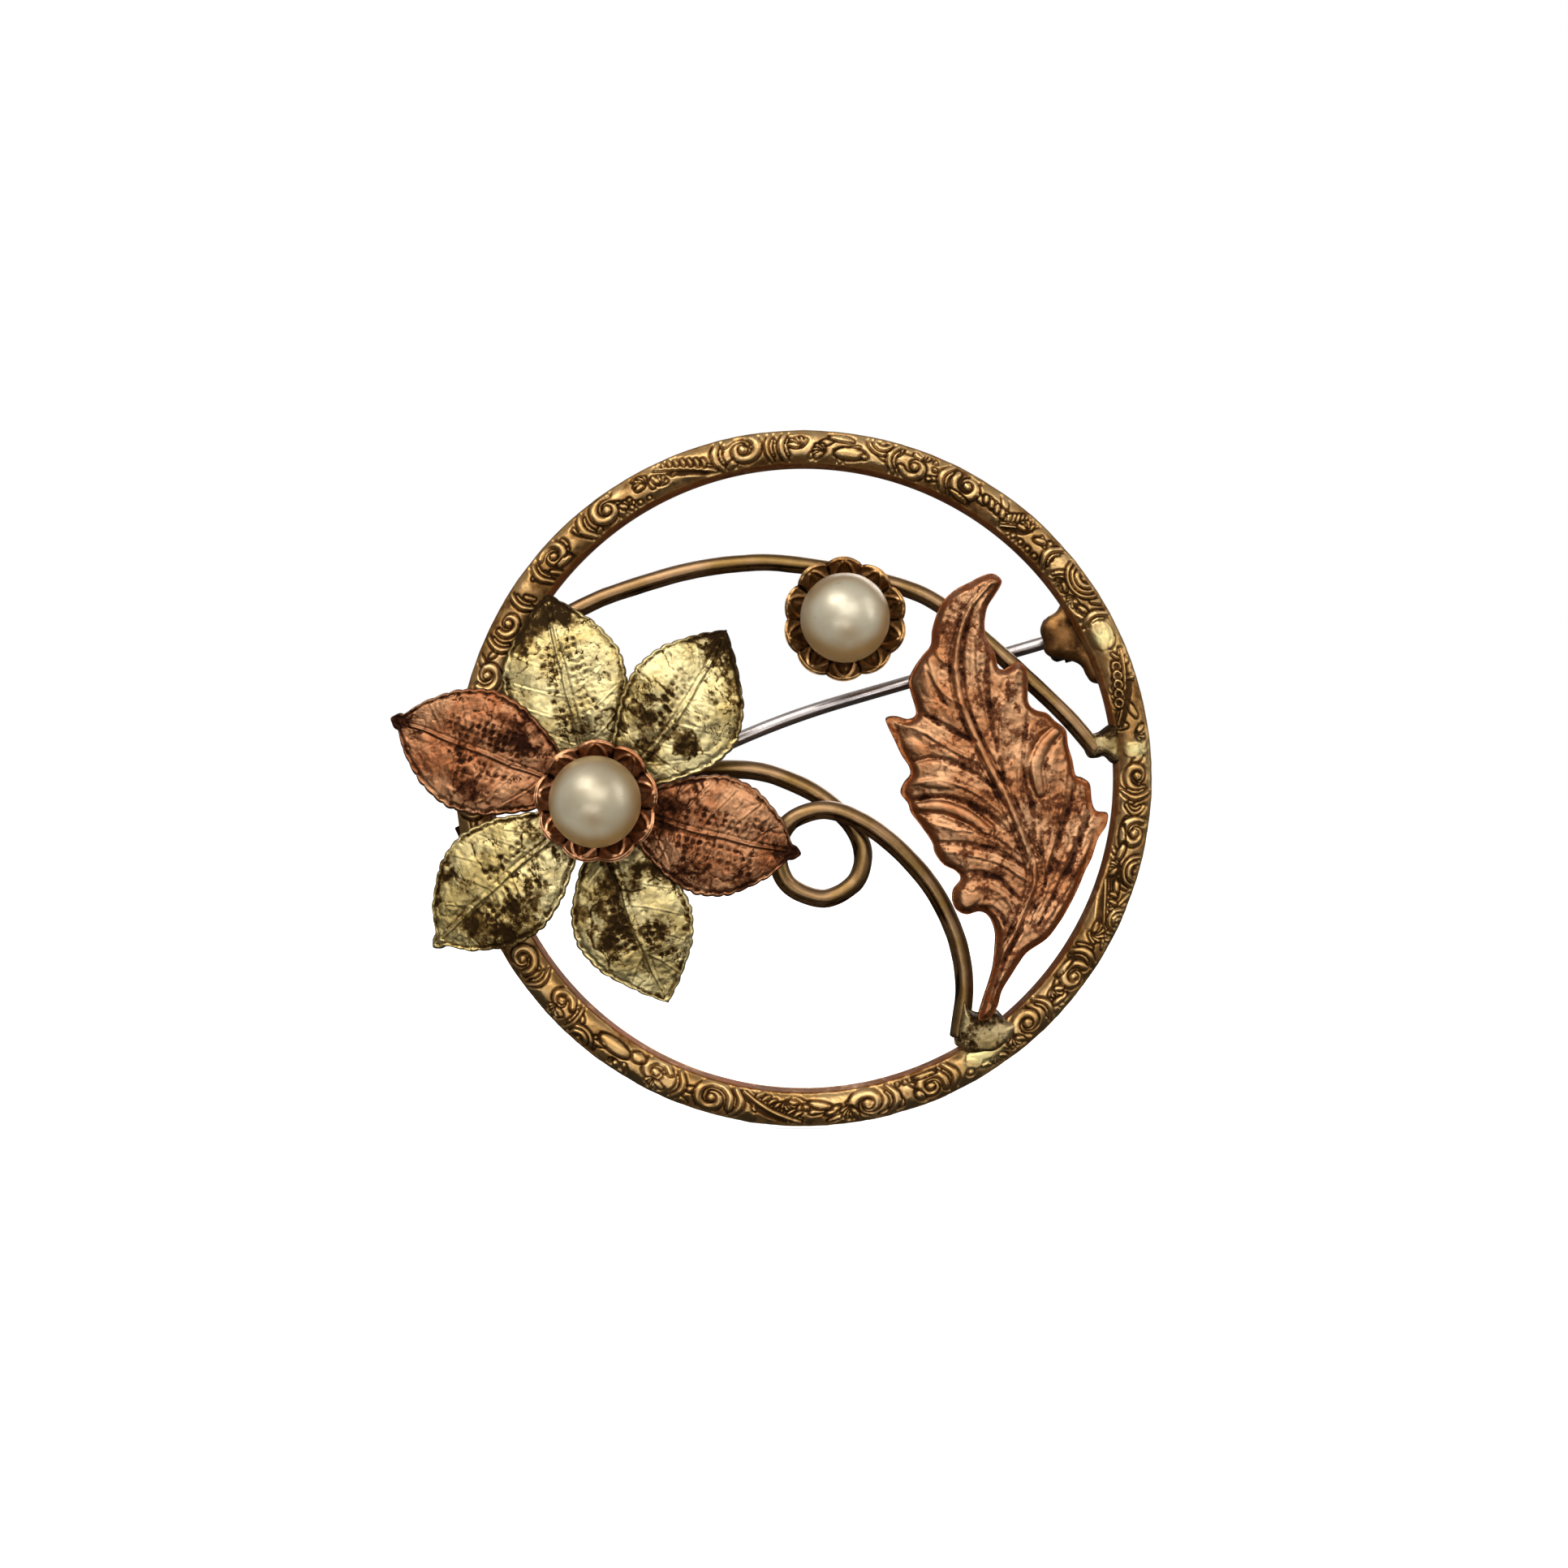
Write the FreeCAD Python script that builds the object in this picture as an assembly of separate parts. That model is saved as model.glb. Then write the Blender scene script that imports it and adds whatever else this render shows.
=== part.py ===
import FreeCAD, Part
import math
import os

from FreeCAD import Rotation, Vector

os.makedirs("parts", exist_ok=True)

# All lengths are in mm. X points right and Z up as worn, Y points back towards the cloth.
# The origin is the middle of the hoop, on its flat back.

# Hoop
RING_IN = 19.05
RING_OUT = 21.3
RING_DEEP = 1.85

# Stem wires
UPPER_R = 0.53
LOWER_R = 0.575
UPPER_STEM = [
    (-17.0, -0.95, 8.7), (-13.6, -1.0, 10.45), (-11.4, -1.0, 11.38), (-7.45, -1.0, 12.58),
    (-3.97, -1.0, 13.14), (-1.01, -1.0, 13.14), (3.22, -1.0, 12.42), (7.2, -1.0, 11.25),
    (9.93, -1.0, 9.39), (13.16, -1.0, 6.56), (16.0, -1.0, 3.9), (17.85, -0.95, 1.75),
]
LOWER_STEM = [
    (-10.6, -0.66, -0.7), (-9.2, -0.66, -0.2), (-6.2, -0.64, 0.45), (-2.98, -0.62, 0.46),
    (-0.57, -0.6, -0.29), (1.28, -0.58, -1.32), (2.92, -0.6, -2.86), (3.64, -0.75, -4.6),
    (3.11, -0.95, -6.41), (1.18, -1.2, -7.35), (-0.96, -1.45, -6.45), (-1.6, -1.65, -4.5),
    (-0.85, -1.78, -2.67), (1.3, -1.84, -1.93), (3.57, -1.76, -2.68), (5.86, -1.5, -4.41),
    (7.9, -1.25, -6.78), (9.33, -1.1, -9.75), (9.84, -1.0, -12.7), (9.5, -1.0, -15.74),
]

# Flower
FLOWER_X = -12.4
FLOWER_Z = -1.4
PETAL_T = 0.3
PETAL_DOME = 18.0
PETAL_MID = 7.0
PETAL_START = 0.62
LAYER_Y = {1: -3.0, 2: -3.5, 3: -4.0}
TEETH = 17
TOOTH = 0.13
# name: direction in degrees from +X towards +Z, length, half width, sideways bend, layer
PETALS = {
    "petal_top": (105.0, 13.15, 3.72, 0.15, 1),
    "petal_upper_right": (53.5, 12.95, 3.72, -0.85, 3),
    "petal_right": (-14.7, 12.65, 3.65, -0.25, 2),
    "petal_lower_right": (-71.3, 12.95, 3.6, -0.45, 1),
    "petal_lower_left": (-138.6, 13.4, 3.68, -0.22, 3),
    "petal_left": (158.3, 13.68, 3.75, -0.1, 2),
}
BACK_DISC_R = 2.7
BACK_DISC_Y = (-1.6, -1.2)

# Pearls in their rosette cups: x, z, back of cup y, cup radius, lobes, pearl radius
CUP_DISH = 5.0
CUP_T = 0.35
PEG_R = 0.45
FLOWER_CUP = (FLOWER_X, FLOWER_Z, -3.06, 3.72, 9, 2.745)
BUD_CUP = (2.47, 9.66, -0.65, 3.78, 10, 2.71)

# Spray leaf
LEAF_BACK = -1.62
LEAF_FRONT = -3.15
LEAF_OUTLINE = [
    (11.92, 12.3), (11.2, 10.67), (10.96, 9.44), (11.01, 8.31), (11.74, 7.38), (11.84, 6.69),
    (12.34, 6.59), (13.02, 7.13), (13.47, 6.93), (13.71, 6.05), (13.76, 4.33), (14.85, 4.08),
    (15.39, 3.54), (16.17, 2.9), (16.42, 1.32), (16.76, 0.04), (17.6, -0.35), (17.75, -2.02),
    (18.55, -2.12), (18.38, -3.25), (17.55, -4.55), (17.2, -5.9), (16.45, -7.8), (15.12, -9.7),
    (13.87, -11.05), (13.12, -11.42), (12.63, -12.21), (12.14, -13.64), (11.65, -14.38),
    (10.56, -14.72), (10.81, -13.64), (11.2, -12.21), (11.6, -10.34), (11.65, -9.31),
    (11.35, -8.37), (10.81, -7.98), (10.27, -8.03), (9.78, -8.22), (9.23, -8.13), (9.04, -7.44),
    (9.48, -6.21), (8.69, -5.32), (8.05, -4.83), (7.71, -3.89), (6.97, -2.86), (6.38, -2.17),
    (5.89, -0.99), (6.58, 0.04), (6.08, 1.23), (5.25, 2.7), (4.98, 3.5), (6.72, 3.74),
    (6.63, 4.67), (6.48, 6.05), (6.72, 6.84), (7.36, 7.62), (7.71, 8.76), (7.95, 9.64),
    (8.74, 10.92), (9.43, 11.46), (10.22, 12.0), (11.1, 12.3),
]
# long hollow lobes on the leaf: x, z, half length, half width, direction in degrees
LEAF_LOBES = [(14.55, 0.6, 3.3, 0.95, 108.0), (9.8, -2.3, 3.0, 0.95, 112.0)]

# Pin and its hinge
PIN_Y = 1.9
PIN_R = 0.42
HINGE_X = -19.78
HINGE_Z = -4.78
PIN_ROOT_DEG = 24.7
PIN_TIP_DEG = 16.2
BEND_R = 55.0
ROOT_LENGTH = 16.3
TIP_LENGTH = 14.35
EVEN_LENGTH = 11.4
POINT_R = 0.35
POINT_LENGTH = 1.3
KNUCKLE_R = 0.85
KNUCKLE_LENGTH = 1.44
RIVET_R = 0.35
RUN_GAP = 0.04
EAR_T = 0.45
EAR_GAP = 1.6
HINGE_PLATE_T = 0.45

# Catch
CATCH_R = 1.4
CATCH_LENGTH = 2.6
CATCH_ROUND = 1.76
BARREL_R = 0.95
BARREL_BORE = 0.62
BARREL_LENGTH = 1.5
LIP_BORE = 0.72
SLOT = 1.06
LEVER_T = 0.4
LEVER_REACH = 2.15
CATCH_FOOT_R = 1.3
CATCH_PLATE_T = 0.4


def send(shape, name):
    shape.exportStep("parts/" + name + ".step")


def one(shape):
    """The clean single solid of a boolean result."""
    shape = shape.removeSplitter()
    return max(shape.Solids, key=lambda s: s.Volume)


def prism(wire, y_front, y_back):
    """A wire in the plane y = 0 as a block between two depths."""
    face = Part.Face(wire)
    face.translate(Vector(0, y_front, 0))
    return face.extrude(Vector(0, y_back - y_front, 0))


def round_bar(start, direction, length, radius):
    return Part.makeCylinder(radius, length, start, direction)


def ring_frame():
    """Half-oval hoop section: soft inner shoulder, steeper outer one, flat back."""
    mid = (RING_IN + RING_OUT) / 2 + 0.12
    inner = Vector(RING_IN + 0.3, -0.95, 0)
    outer = Vector(RING_OUT - 0.1, -0.95, 0)
    crown = Vector(mid, -RING_DEEP, 0)
    a = Vector(RING_IN, 0, 0)
    b = Vector(RING_OUT, 0, 0)
    wall_in = Vector(RING_IN, -0.45, 0)
    wall_out = Vector(RING_OUT, -0.55, 0)
    edges = [
        Part.makeLine(a, wall_in),
        Part.makeLine(wall_in, inner),
        Part.Arc(inner, crown, outer).toShape(),
        Part.makeLine(outer, wall_out),
        Part.makeLine(wall_out, b),
        Part.makeLine(b, a),
    ]
    face = Part.Face(Part.Wire(edges))
    return face.revolve(Vector(0, 0, 0), Vector(0, 1, 0), 360).Solids[0]


def wire_along(points, radius):
    """Round wire along a smooth curve."""
    curve = Part.BSplineCurve()
    curve.interpolate([Vector(*p) for p in points])
    spine = Part.Wire(curve.toShape())
    start = curve.value(curve.FirstParameter)
    tangent = curve.tangent(curve.FirstParameter)[0]
    circle = Part.Wire(Part.makeCircle(radius, start, tangent))
    shell = Part.BRepOffsetAPI.MakePipeShell(spine)
    shell.setFrenetMode(False)
    shell.add(circle, False, False)
    shell.build()
    shell.makeSolid()
    return Part.Solid(shell.shape())


def petal_outline(length, half, bend):
    """Pointed oval with a row of small round teeth down each side, pointing along +X."""
    def edge(t, side):
        u = PETAL_START + (length - PETAL_START) * t
        s = u / length
        width = max(half * math.sin(math.pi * s ** 1.27), 0.0)
        return Vector(u, 0, side * max(width, 0.03 if t < 1 else 0.0) + bend * math.sin(math.pi * s))

    def share(k):
        return (k / TEETH) ** 0.9

    edges = []
    for side in (1, -1):
        for k in range(TEETH):
            t0, t1 = share(k), share(k + 1)
            p, q = edge(t0, side), edge(t1, side)
            middle = edge((t0 + t1) / 2, side)
            out = Vector(-(q - p).z, 0, (q - p).x).normalize() * (TOOTH * side)
            edges.append(Part.Arc(p, middle + out, q).toShape())
    edges.append(Part.makeLine(edge(0, 1), edge(0, -1)))
    return Part.Wire(Part.sortEdges(edges)[0])


def rib_outline(length, bend):
    """Narrow strip down the middle of a petal, tapering to the tip."""
    def at(s, side):
        u = 2.0 + (length - 3.0) * s
        return Vector(u, 0, side * (0.16 - 0.09 * s) + bend * math.sin(math.pi * u / length))

    steps = 12
    line = [at(k / steps, 1) for k in range(steps + 1)] + [at(1 - k / steps, -1) for k in range(steps + 1)]
    return Part.makePolygon(line + [line[0]])


def petal(name):
    """A domed leaf of thin sheet with a raised midrib."""
    angle, length, half, bend, layer = PETALS[name]
    crown = LAYER_Y[layer]
    centre = Vector(PETAL_MID, crown + PETAL_DOME, 0)
    outer = Part.makeSphere(PETAL_DOME, centre)
    inner = Part.makeSphere(PETAL_DOME - PETAL_T, centre)
    rib_top = Part.makeSphere(PETAL_DOME + 0.12, centre)
    rib_bed = Part.makeSphere(PETAL_DOME - 0.1, centre)
    sheet = prism(petal_outline(length, half, bend), crown - 1, crown + 3).common(outer).cut(inner)
    rib = prism(rib_outline(length, bend), crown - 1, crown + 3).common(rib_top).cut(rib_bed)
    body = one(sheet.fuse(rib))
    body.rotate(Vector(0, 0, 0), Vector(0, 1, 0), -angle)
    body.translate(Vector(FLOWER_X, 0, FLOWER_Z))
    return body


def lobed_outline(x, z, radius, lobes):
    """Round outline made of equal outward bulges."""
    edges = []
    notch = radius * 0.93
    for k in range(lobes):
        a0, a1 = 2 * math.pi * k / lobes, 2 * math.pi * (k + 1) / lobes
        am = (a0 + a1) / 2
        p = Vector(x + notch * math.cos(a0), 0, z + notch * math.sin(a0))
        q = Vector(x + notch * math.cos(a1), 0, z + notch * math.sin(a1))
        m = Vector(x + radius * math.cos(am), 0, z + radius * math.sin(am))
        edges.append(Part.Arc(p, m, q).toShape())
    return Part.Wire(Part.sortEdges(edges)[0])


def pearl_cup(x, z, back, radius, lobes, pearl_r):
    """Lobed dish that holds a pearl, with a hole for the peg."""
    centre = Vector(x, back - CUP_DISH - CUP_T, z)
    block = prism(lobed_outline(x, z, radius, lobes), back - 2.6, back + 1)
    dish = block.common(Part.makeSphere(CUP_DISH + CUP_T, centre)).cut(Part.makeSphere(CUP_DISH, centre))
    hole = round_bar(Vector(x, back + 1, z), Vector(0, -1, 0), 3, PEG_R)
    return one(dish.cut(hole))


def pearl_centre(cup):
    x, z, back, radius, lobes, pearl_r = cup
    return Vector(x, back - CUP_T - 0.02 - pearl_r, z)


def pearl(cup):
    """Round pearl with a drilled hole from the back to its middle."""
    centre = pearl_centre(cup)
    ball = Part.makeSphere(cup[5], centre)
    hole = round_bar(centre, Vector(0, 1, 0), cup[5] + 1, PEG_R)
    return one(ball.cut(hole))


def peg(cup, back):
    """Peg from behind the cup to the middle of the pearl."""
    tip = pearl_centre(cup)
    return round_bar(Vector(tip.x, back, tip.z), Vector(0, -1, 0), back - tip.y, PEG_R)


def flower_back_disc():
    front, back = BACK_DISC_Y
    disc = round_bar(Vector(FLOWER_X, back, FLOWER_Z), Vector(0, -1, 0), back - front, BACK_DISC_R)
    hole = round_bar(Vector(FLOWER_X, back + 1, FLOWER_Z), Vector(0, -1, 0), 4, PEG_R)
    return one(disc.cut(hole))


def acanthus_leaf():
    """Thick lobed leaf with a crowned face, a midrib, furrows and two long hollow lobes."""
    outline = [Vector(x, 0, z) for x, z in LEAF_OUTLINE]
    block = prism(Part.makePolygon(outline + [outline[0]]), LEAF_FRONT - 1, LEAF_BACK)
    crown = Part.makeCylinder(16.0, 40, Vector(11.6, LEAF_FRONT + 16.0, -20), Vector(0, 0, 1))
    body = block.common(crown)
    for x, z, half_l, half_w, angle in LEAF_LOBES:
        lobe = Part.makeSphere(1.0)
        matrix = FreeCAD.Matrix()
        matrix.scale(half_l, 0.75, half_w)
        lobe = lobe.transformGeometry(matrix)
        lobe.rotate(Vector(0, 0, 0), Vector(0, 1, 0), -angle)
        lobe.translate(Vector(x, LEAF_FRONT + 0.55, z))
        body = body.fuse(lobe.common(block))
    rib = wire_along([(11.1, LEAF_FRONT + 0.1, -13.6), (12.6, LEAF_FRONT + 0.05, -7.0),
                      (11.9, LEAF_FRONT + 0.02, 0.5), (10.0, LEAF_FRONT + 0.1, 8.6)], 0.28)
    return one(body.fuse(rib))


def solder_lower_junction(neighbours):
    """Flowed solder between the lower stem's end, the leaf's base and the hoop."""
    corner = [(9.75, -13.35), (10.15, -14.05), (10.7, -14.35), (11.75, -14.15), (12.4, -14.75),
              (12.9, -14.65), (13.3, -15.2), (10.7, -17.1), (9.75, -16.95), (9.35, -15.9)]
    path = [Vector(x, 0, z) for x, z in corner]
    blob = prism(Part.makePolygon(path + [path[0]]), -1.95, -0.35)
    dome = Part.makeSphere(5.5, Vector(11.2, 3.4, -15.4))
    blob = blob.common(dome)
    for other in neighbours:
        blob = blob.cut(other)
    return one(blob)


def solder_stem_end(neighbours):
    """Small solder bridge between the upper stem's end and the hoop."""
    corner = [(17.25, 3.1), (17.75, 2.75), (18.35, 2.95), (18.75, 3.3), (19.4, 3.0), (19.5, 1.2),
              (18.9, 0.95), (18.45, 1.35), (17.9, 1.15), (17.2, 1.9)]
    path = [Vector(x, 0, z) for x, z in corner]
    blob = prism(Part.makePolygon(path + [path[0]]), -1.3, -0.4)
    for other in neighbours:
        blob = blob.cut(other)
    return one(blob)


def solder_pad(x, z, radius, neighbours):
    """Round pad between the hoop's crown and a petal's underside."""
    pad = round_bar(Vector(x, -1.2, z), Vector(0, -1, 0), 2.9, radius)
    for other in neighbours:
        pad = pad.cut(other)
    return max(pad.Solids, key=lambda s: s.BoundBox.YMax)


def pin_direction(degrees):
    a = math.radians(degrees)
    return Vector(math.cos(a), 0, math.sin(a))


HINGE = Vector(HINGE_X, PIN_Y, HINGE_Z)
ROOT_DIR = pin_direction(PIN_ROOT_DEG)
TIP_DIR = pin_direction(PIN_TIP_DEG)
HINGE_AXIS = Vector(-ROOT_DIR.z, 0, ROOT_DIR.x)
BEND_START = HINGE + ROOT_DIR * ROOT_LENGTH
BEND_CENTRE = BEND_START - HINGE_AXIS * BEND_R
BEND_END = BEND_CENTRE + Vector(-TIP_DIR.z, 0, TIP_DIR.x) * BEND_R
PIN_END = BEND_END + TIP_DIR * TIP_LENGTH
CATCH_MID = PIN_END


def across_hinge(y, offset):
    return Vector(HINGE.x, y, HINGE.z) + HINGE_AXIS * offset


def hinge_base():
    """Plate on the hoop's back with two upright ears."""
    plate = Part.makeBox(1.7, HINGE_PLATE_T, 4.6, Vector(-0.85, 0, -2.3))
    for side in (-1, 1):
        ear = Part.makeBox(1.7, PIN_Y, EAR_T, Vector(-0.85, 0, side * (EAR_GAP + EAR_T) / 2 - EAR_T / 2))
        top = Part.makeCylinder(0.85, EAR_T, Vector(0, PIN_Y, side * (EAR_GAP + EAR_T) / 2 - EAR_T / 2))
        plate = plate.fuse(ear).fuse(top)
    hole = Part.makeCylinder(RIVET_R, 6, Vector(0, PIN_Y, -3))
    body = one(plate.cut(hole))
    body.rotate(Vector(0, 0, 0), Vector(0, 1, 0), -PIN_ROOT_DEG)
    body.translate(Vector(HINGE_X, 0, HINGE_Z))
    return body


def hinge_rivet():
    half = EAR_GAP / 2 + EAR_T
    shank = round_bar(across_hinge(PIN_Y, -half), HINGE_AXIS, 2 * half, RIVET_R)
    for side in (-1, 1):
        head = round_bar(across_hinge(PIN_Y, side * half), HINGE_AXIS * side, 0.22, 0.6)
        shank = shank.fuse(head)
    return one(shank)


def pin_knuckle():
    """Eye that turns on the rivet, with a short heel that stops the pin."""
    start = across_hinge(PIN_Y, -KNUCKLE_LENGTH / 2)
    eye = round_bar(start, HINGE_AXIS, KNUCKLE_LENGTH, KNUCKLE_R)
    return one(eye.cut(round_bar(start - HINGE_AXIS, HINGE_AXIS, 4, RIVET_R + RUN_GAP)))


def pin_stem(knuckle_space):
    """Steel stem: straight root, one gentle bend, straight tip that thins before its point."""
    root = round_bar(HINGE, ROOT_DIR, ROOT_LENGTH, PIN_R)
    profile = Part.Face(Part.Wire(Part.makeCircle(PIN_R, BEND_START, ROOT_DIR)))
    bend = profile.revolve(BEND_CENTRE, Vector(0, 1, 0), PIN_ROOT_DEG - PIN_TIP_DEG)
    tip = round_bar(BEND_END, TIP_DIR, EVEN_LENGTH, PIN_R)
    taper = Part.makeCone(PIN_R, POINT_R, TIP_LENGTH - EVEN_LENGTH, BEND_END + TIP_DIR * EVEN_LENGTH, TIP_DIR)
    point = Part.makeCone(POINT_R, 0.1, POINT_LENGTH, PIN_END, TIP_DIR)
    return one(root.fuse(bend).fuse(tip).fuse(taper).fuse(point).cut(knuckle_space))


def in_catch(shape):
    """From the catch's own axes (Z along the pin, Y back) to the brooch's."""
    shape.rotate(Vector(0, 0, 0), Vector(0, 1, 0), 90 - PIN_TIP_DEG)
    shape.translate(CATCH_MID)
    return shape


def wedge(radius, half_degrees, length):
    """Sector of a cylinder around the back direction, centred on the axis."""
    a = math.radians(half_degrees)
    p = Vector(radius * math.sin(a), radius * math.cos(a), -length / 2)
    q = Vector(-p.x, p.y, p.z)
    tip = Vector(0, 0, -length / 2)
    arc = Part.Arc(p, Vector(0, radius, -length / 2), q).toShape()
    face = Part.Face(Part.Wire([Part.makeLine(tip, p), arc, Part.makeLine(q, tip)]))
    return face.extrude(Vector(0, 0, length))


def catch_housing():
    """Round cage open at the back, with end lips that hold the barrel."""
    half = CATCH_LENGTH / 2
    cage = Part.makeCylinder(CATCH_R, CATCH_LENGTH, Vector(0, 0, -half)).common(Part.makeSphere(CATCH_ROUND))
    foot = Part.makeCylinder(CATCH_FOOT_R, PIN_Y - CATCH_PLATE_T, Vector(0, CATCH_PLATE_T - PIN_Y, 0),
                             Vector(0, 1, 0))
    cage = cage.fuse(foot)
    room = BARREL_LENGTH + 0.14
    cage = cage.cut(Part.makeCylinder(BARREL_R + RUN_GAP, room, Vector(0, 0, -room / 2)))
    cage = cage.cut(Part.makeCylinder(LIP_BORE, CATCH_LENGTH + 2, Vector(0, 0, -half - 1)))
    cage = cage.cut(wedge(3.0, 62, room))
    cage = cage.cut(Part.makeBox(SLOT + 0.1, 3, CATCH_LENGTH + 2, Vector(-SLOT / 2 - 0.05, 0, -half - 1)))
    return in_catch(one(cage))


def catch_barrel():
    """Slotted roller that turns round the pin; its slot faces back when open."""
    half = BARREL_LENGTH / 2
    roller = Part.makeCylinder(BARREL_R, BARREL_LENGTH, Vector(0, 0, -half))
    roller = roller.cut(Part.makeCylinder(BARREL_BORE, BARREL_LENGTH + 2, Vector(0, 0, -half - 1)))
    return in_catch(one(roller.cut(Part.makeBox(SLOT, 3, 4, Vector(-SLOT / 2, 0, -2)))))


def catch_lever():
    """Finger tab on the roller."""
    tab = Part.makeBox(LEVER_T, LEVER_REACH - BARREL_R + 0.2, 0.8,
                       Vector(-LEVER_T / 2, BARREL_R - 0.2, -0.4))
    tab = tab.cut(Part.makeCylinder(BARREL_R, 4, Vector(0, 0, -2)))
    tab.rotate(Vector(0, 0, 0), Vector(0, 0, 1), -43)
    return in_catch(one(tab))


def catch_base():
    """Strip on the hoop's back that carries the cage and follows the hoop down."""
    inner, outer = RING_IN - 0.42, RING_OUT - 0.5
    a0, a1 = math.radians(18.6), math.radians(33.0)
    am = (a0 + a1) / 2

    def at(radius, a):
        return Vector(radius * math.cos(a), 0, radius * math.sin(a))

    strip = Part.Wire([
        Part.Arc(at(inner, a0), at(inner, am), at(inner, a1)).toShape(),
        Part.makeLine(at(inner, a1), at(outer, a1)),
        Part.Arc(at(outer, a1), at(outer, am), at(outer, a0)).toShape(),
        Part.makeLine(at(outer, a0), at(inner, a0)),
    ])
    plate = prism(strip, 0, CATCH_PLATE_T)
    pad = round_bar(Vector(CATCH_MID.x, 0, CATCH_MID.z), Vector(0, 1, 0), CATCH_PLATE_T, CATCH_FOOT_R + 0.06)
    return one(plate.fuse(pad))


ring = ring_frame()
upper_stem = wire_along(UPPER_STEM, UPPER_R).cut(ring)
upper_stem = max(upper_stem.Solids, key=lambda s: s.Volume)
lower_stem = wire_along(LOWER_STEM, LOWER_R).cut(ring)
lower_stem = max(lower_stem.Solids, key=lambda s: s.Volume)
leaf = acanthus_leaf()
petals = {}
for layer in (3, 2, 1):
    for name in PETALS:
        if PETALS[name][4] == layer:
            shape = petal(name).cut(ring)
            for above in petals.values():
                shape = shape.cut(above)
            petals[name] = one(shape)
knuckle = pin_knuckle()
knuckle_space = round_bar(across_hinge(PIN_Y, -2), HINGE_AXIS, 4, KNUCKLE_R)

nodes = {
    "ring_frame": ring,
    "upper_stem_wire": upper_stem,
    "lower_stem_wire": lower_stem,
    "acanthus_leaf": leaf,
    "flower_back_disc": flower_back_disc(),
    "flower_pearl_cup": pearl_cup(*FLOWER_CUP),
    "flower_pearl": pearl(FLOWER_CUP),
    "flower_pearl_peg": peg(FLOWER_CUP, BACK_DISC_Y[1]),
    "bud_pearl_cup": pearl_cup(*BUD_CUP),
    "bud_pearl": pearl(BUD_CUP),
    "bud_pearl_peg": peg(BUD_CUP, BUD_CUP[2]),
    "solder_lower_junction": solder_lower_junction([ring, lower_stem, leaf]),
    "solder_stem_end": solder_stem_end([ring, upper_stem]),
    "solder_flower_left": solder_pad(-20.1, 1.67, 0.7, [ring] + list(petals.values())),
    "solder_flower_lower": solder_pad(-18.95, -7.28, 0.7, [ring] + list(petals.values())),
    "hinge_base": hinge_base(),
    "hinge_rivet": hinge_rivet(),
    "pin_knuckle": knuckle,
    "pin_stem": pin_stem(knuckle_space),
    "catch_base": catch_base(),
    "catch_housing": catch_housing(),
    "catch_barrel": catch_barrel(),
    "catch_lever": catch_lever(),
}
nodes.update(petals)

for name, shape in nodes.items():
    send(shape, name)
    print(name, shape.ShapeType, len(shape.Solids), shape.isValid(), round(shape.Volume, 3))
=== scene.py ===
import math

import bpy
import numpy as np
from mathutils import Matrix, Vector
from mathutils.geometry import delaunay_2d_cdt


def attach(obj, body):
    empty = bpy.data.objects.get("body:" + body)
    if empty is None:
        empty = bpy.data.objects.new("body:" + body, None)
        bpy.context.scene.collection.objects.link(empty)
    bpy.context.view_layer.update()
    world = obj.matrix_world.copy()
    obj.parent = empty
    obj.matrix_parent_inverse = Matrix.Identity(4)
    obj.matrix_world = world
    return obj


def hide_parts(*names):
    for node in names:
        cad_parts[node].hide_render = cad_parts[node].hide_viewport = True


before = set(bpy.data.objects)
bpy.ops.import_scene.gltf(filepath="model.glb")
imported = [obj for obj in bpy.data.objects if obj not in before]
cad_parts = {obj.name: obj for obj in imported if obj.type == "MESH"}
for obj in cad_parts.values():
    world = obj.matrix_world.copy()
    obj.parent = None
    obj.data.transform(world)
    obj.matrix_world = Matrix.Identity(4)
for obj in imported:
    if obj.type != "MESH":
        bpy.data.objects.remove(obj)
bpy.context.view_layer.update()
MM = 0.001

# The brooch in mm: X right, Y back to the cloth, Z up. The origin is the hoop's middle, on its back.
UPPER_STEM = [
    (-17.0, -0.95, 8.7), (-13.6, -1.0, 10.45), (-11.4, -1.0, 11.38), (-7.45, -1.0, 12.58),
    (-3.97, -1.0, 13.14), (-1.01, -1.0, 13.14), (3.22, -1.0, 12.42), (7.2, -1.0, 11.25),
    (9.93, -1.0, 9.39), (13.16, -1.0, 6.56), (16.0, -1.0, 3.9), (17.85, -0.95, 1.75),
]
LOWER_STEM = [
    (-10.6, -0.66, -0.7), (-9.2, -0.66, -0.2), (-6.2, -0.64, 0.45), (-2.98, -0.62, 0.46),
    (-0.57, -0.6, -0.29), (1.28, -0.58, -1.32), (2.92, -0.6, -2.86), (3.64, -0.75, -4.6),
    (3.11, -0.95, -6.41), (1.18, -1.2, -7.35), (-0.96, -1.45, -6.45), (-1.6, -1.65, -4.5),
    (-0.85, -1.78, -2.67), (1.3, -1.84, -1.93), (3.57, -1.76, -2.68), (5.86, -1.5, -4.41),
    (7.9, -1.25, -6.78), (9.33, -1.1, -9.75), (9.84, -1.0, -12.7), (9.5, -1.0, -15.74),
]
FLOWER_X, FLOWER_Z = -12.4, -1.4
LEAF_BACK, LEAF_FRONT = -1.62, -3.15


# ---------- shapes from numbers ----------

def smooth(low, high, x):
    """Soft step from 0 at low to 1 at high."""
    t = np.clip((x - low) / (high - low), 0.0, 1.0)
    return t * t * (3 - 2 * t)


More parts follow.
